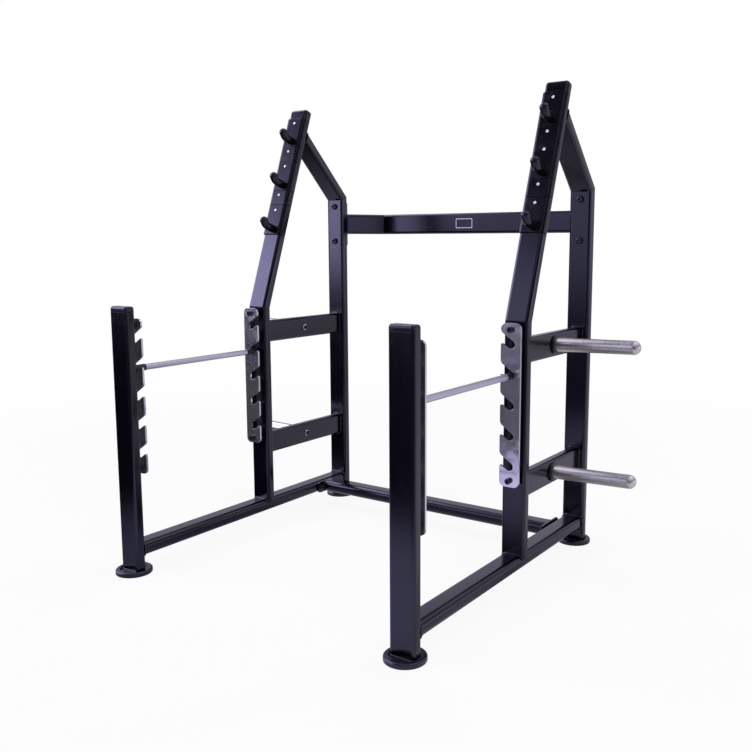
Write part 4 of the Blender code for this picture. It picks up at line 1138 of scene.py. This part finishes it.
world = bpy.data.worlds.new("studio")
bpy.context.scene.world = world
world.use_nodes = True
world.cycles.sampling_method = "NONE"
AIR = Studio(world)
up = AIR.towards((0, 0, 1))
right = AIR.towards((1, 0, 0))
left = 0 - right
depth = AIR.towards((0, 1, 0))
behind = AIR.band(depth, -0.15, 0.25)
aside = AIR.band(right, 0.42, 0.58) * AIR.band(up, 0.08, 0.20)
dimmer_above = 1 - AIR.band(up, 0.38, 0.50) * 0.72
backdrop = behind * dimmer_above * (1 - aside * 0.55) * (0.62 + up * 0.5)
near_level = AIR.band(up, -0.16, 0.0) * (1 - AIR.band(up, 0.12, 0.26))
beside = AIR.band(right, 0.50, 0.85) * near_level
strip = AIR.band(left, 0.57, 0.62) * (1 - AIR.band(up, 0.46, 0.50))
wide = AIR.band(left, 0.15, 0.36) * (1 - AIR.band(up, 0.52, 0.59)) * (WIDE_LIGHT + up * 0.9)
low_edge = 1 - AIR.band(left, 0.66, 0.69) * (1 - AIR.band(up, 0.06, 0.24))
ahead = (1 - behind) * AIR.band(up, -0.05, -0.01)
front = ahead * low_edge * (strip * STRIP_LIGHT + wide)
overhead = AIR.band(depth, -0.50, -0.35) * (1 - AIR.band(depth, 0.10, 0.40))
ceiling = overhead * AIR.band(up, 0.52, 0.64) * AIR.band(left, 0.44, 0.54)
crown = AIR.band(right, -0.15, 0.15) * AIR.band(up, 0.42, 0.58)
above = AIR.band(up, 0.66, 0.85) * HIGH_LIGHT + crown * CROWN_LIGHT
boxes = beside * BESIDE_LIGHT + front + ceiling * CEILING_LIGHT
tint = AIR.mix(behind, LAVENDER, PALE_BLUE)
reflected = shining(AIR, "ShaderNodeBackground", backdrop + boxes + above + DIM_LIGHT, tint)
lighting = shining(AIR, "ShaderNodeBackground", ROOM_LIGHT, ROOM_COLOUR)
clear = shining(AIR, "ShaderNodeBackground", 1.0, WHITE)
direct = ray_is(AIR, "Is Camera Ray") + ray_is(AIR, "Is Transmission Ray")
last = blend(AIR, ray_is(AIR, "Is Glossy Ray"), lighting, reflected)
last = blend(AIR, direct, last, clear)
AIR.tree.links.new(last.socket, AIR.tree.nodes["World Output"].inputs["Surface"])

LAMP_COLOUR = (0.90, 0.88, 1.0)


def lamp(name, place, target, size, power):
    """A soft box that lights the rack and is hidden from its gloss."""
    data = bpy.data.lights.new(name, "AREA")
    data.shape = "RECTANGLE"
    data.size, data.size_y = size
    data.energy = power
    data.color = LAMP_COLOUR
    made = bpy.data.objects.new(name, data)
    bpy.context.scene.collection.objects.link(made)
    made.visible_glossy = False
    made.location = place
    made.rotation_euler = (Vector(target) - Vector(place)).to_track_quat("-Z", "Y").to_euler()


lamp("key_lamp", place=(-3.4, -3.0, 3.0), target=(-0.3, 0, 1.0), size=(2.4, 1.6), power=110)
lamp("fill_lamp", place=(3.6, -2.6, 2.8), target=(0, 0, 0.9), size=(1.6, 1.6), power=45)
lamp("top_lamp", place=(0.4, 0.6, 4.2), target=(0.2, 0, 0), size=(3.0, 1.4), power=70)
lamp("rim_lamp", place=(2.6, 3.6, 2.2), target=(0, 0, 0.8), size=(1.2, 2.0), power=50)

# Camera, at the place and angle of the photograph.

CAMERA_PLACE = (1.9198, -2.6032, 1.1881)
CAMERA_PITCH = 7.945
CAMERA_YAW = 33.769
FOCAL_PIXELS = 857.06
PICTURE_PIXELS = 752
CENTRE_PIXELS = (415.42, 363.17)
SENSOR_WIDTH = 36

camera_data = bpy.data.cameras.new("camera")
camera = bpy.data.objects.new("camera", camera_data)
bpy.context.scene.collection.objects.link(camera)
bpy.context.scene.camera = camera
camera.location = CAMERA_PLACE
camera.rotation_euler = (radians(90 - CAMERA_PITCH), 0, radians(CAMERA_YAW))
camera_data.sensor_width = SENSOR_WIDTH
camera_data.lens = FOCAL_PIXELS / PICTURE_PIXELS * SENSOR_WIDTH
camera_data.shift_x = (PICTURE_PIXELS / 2 - CENTRE_PIXELS[0]) / PICTURE_PIXELS
camera_data.shift_y = (CENTRE_PIXELS[1] - PICTURE_PIXELS / 2) / PICTURE_PIXELS
bpy.context.scene.view_settings.view_transform = "Standard"
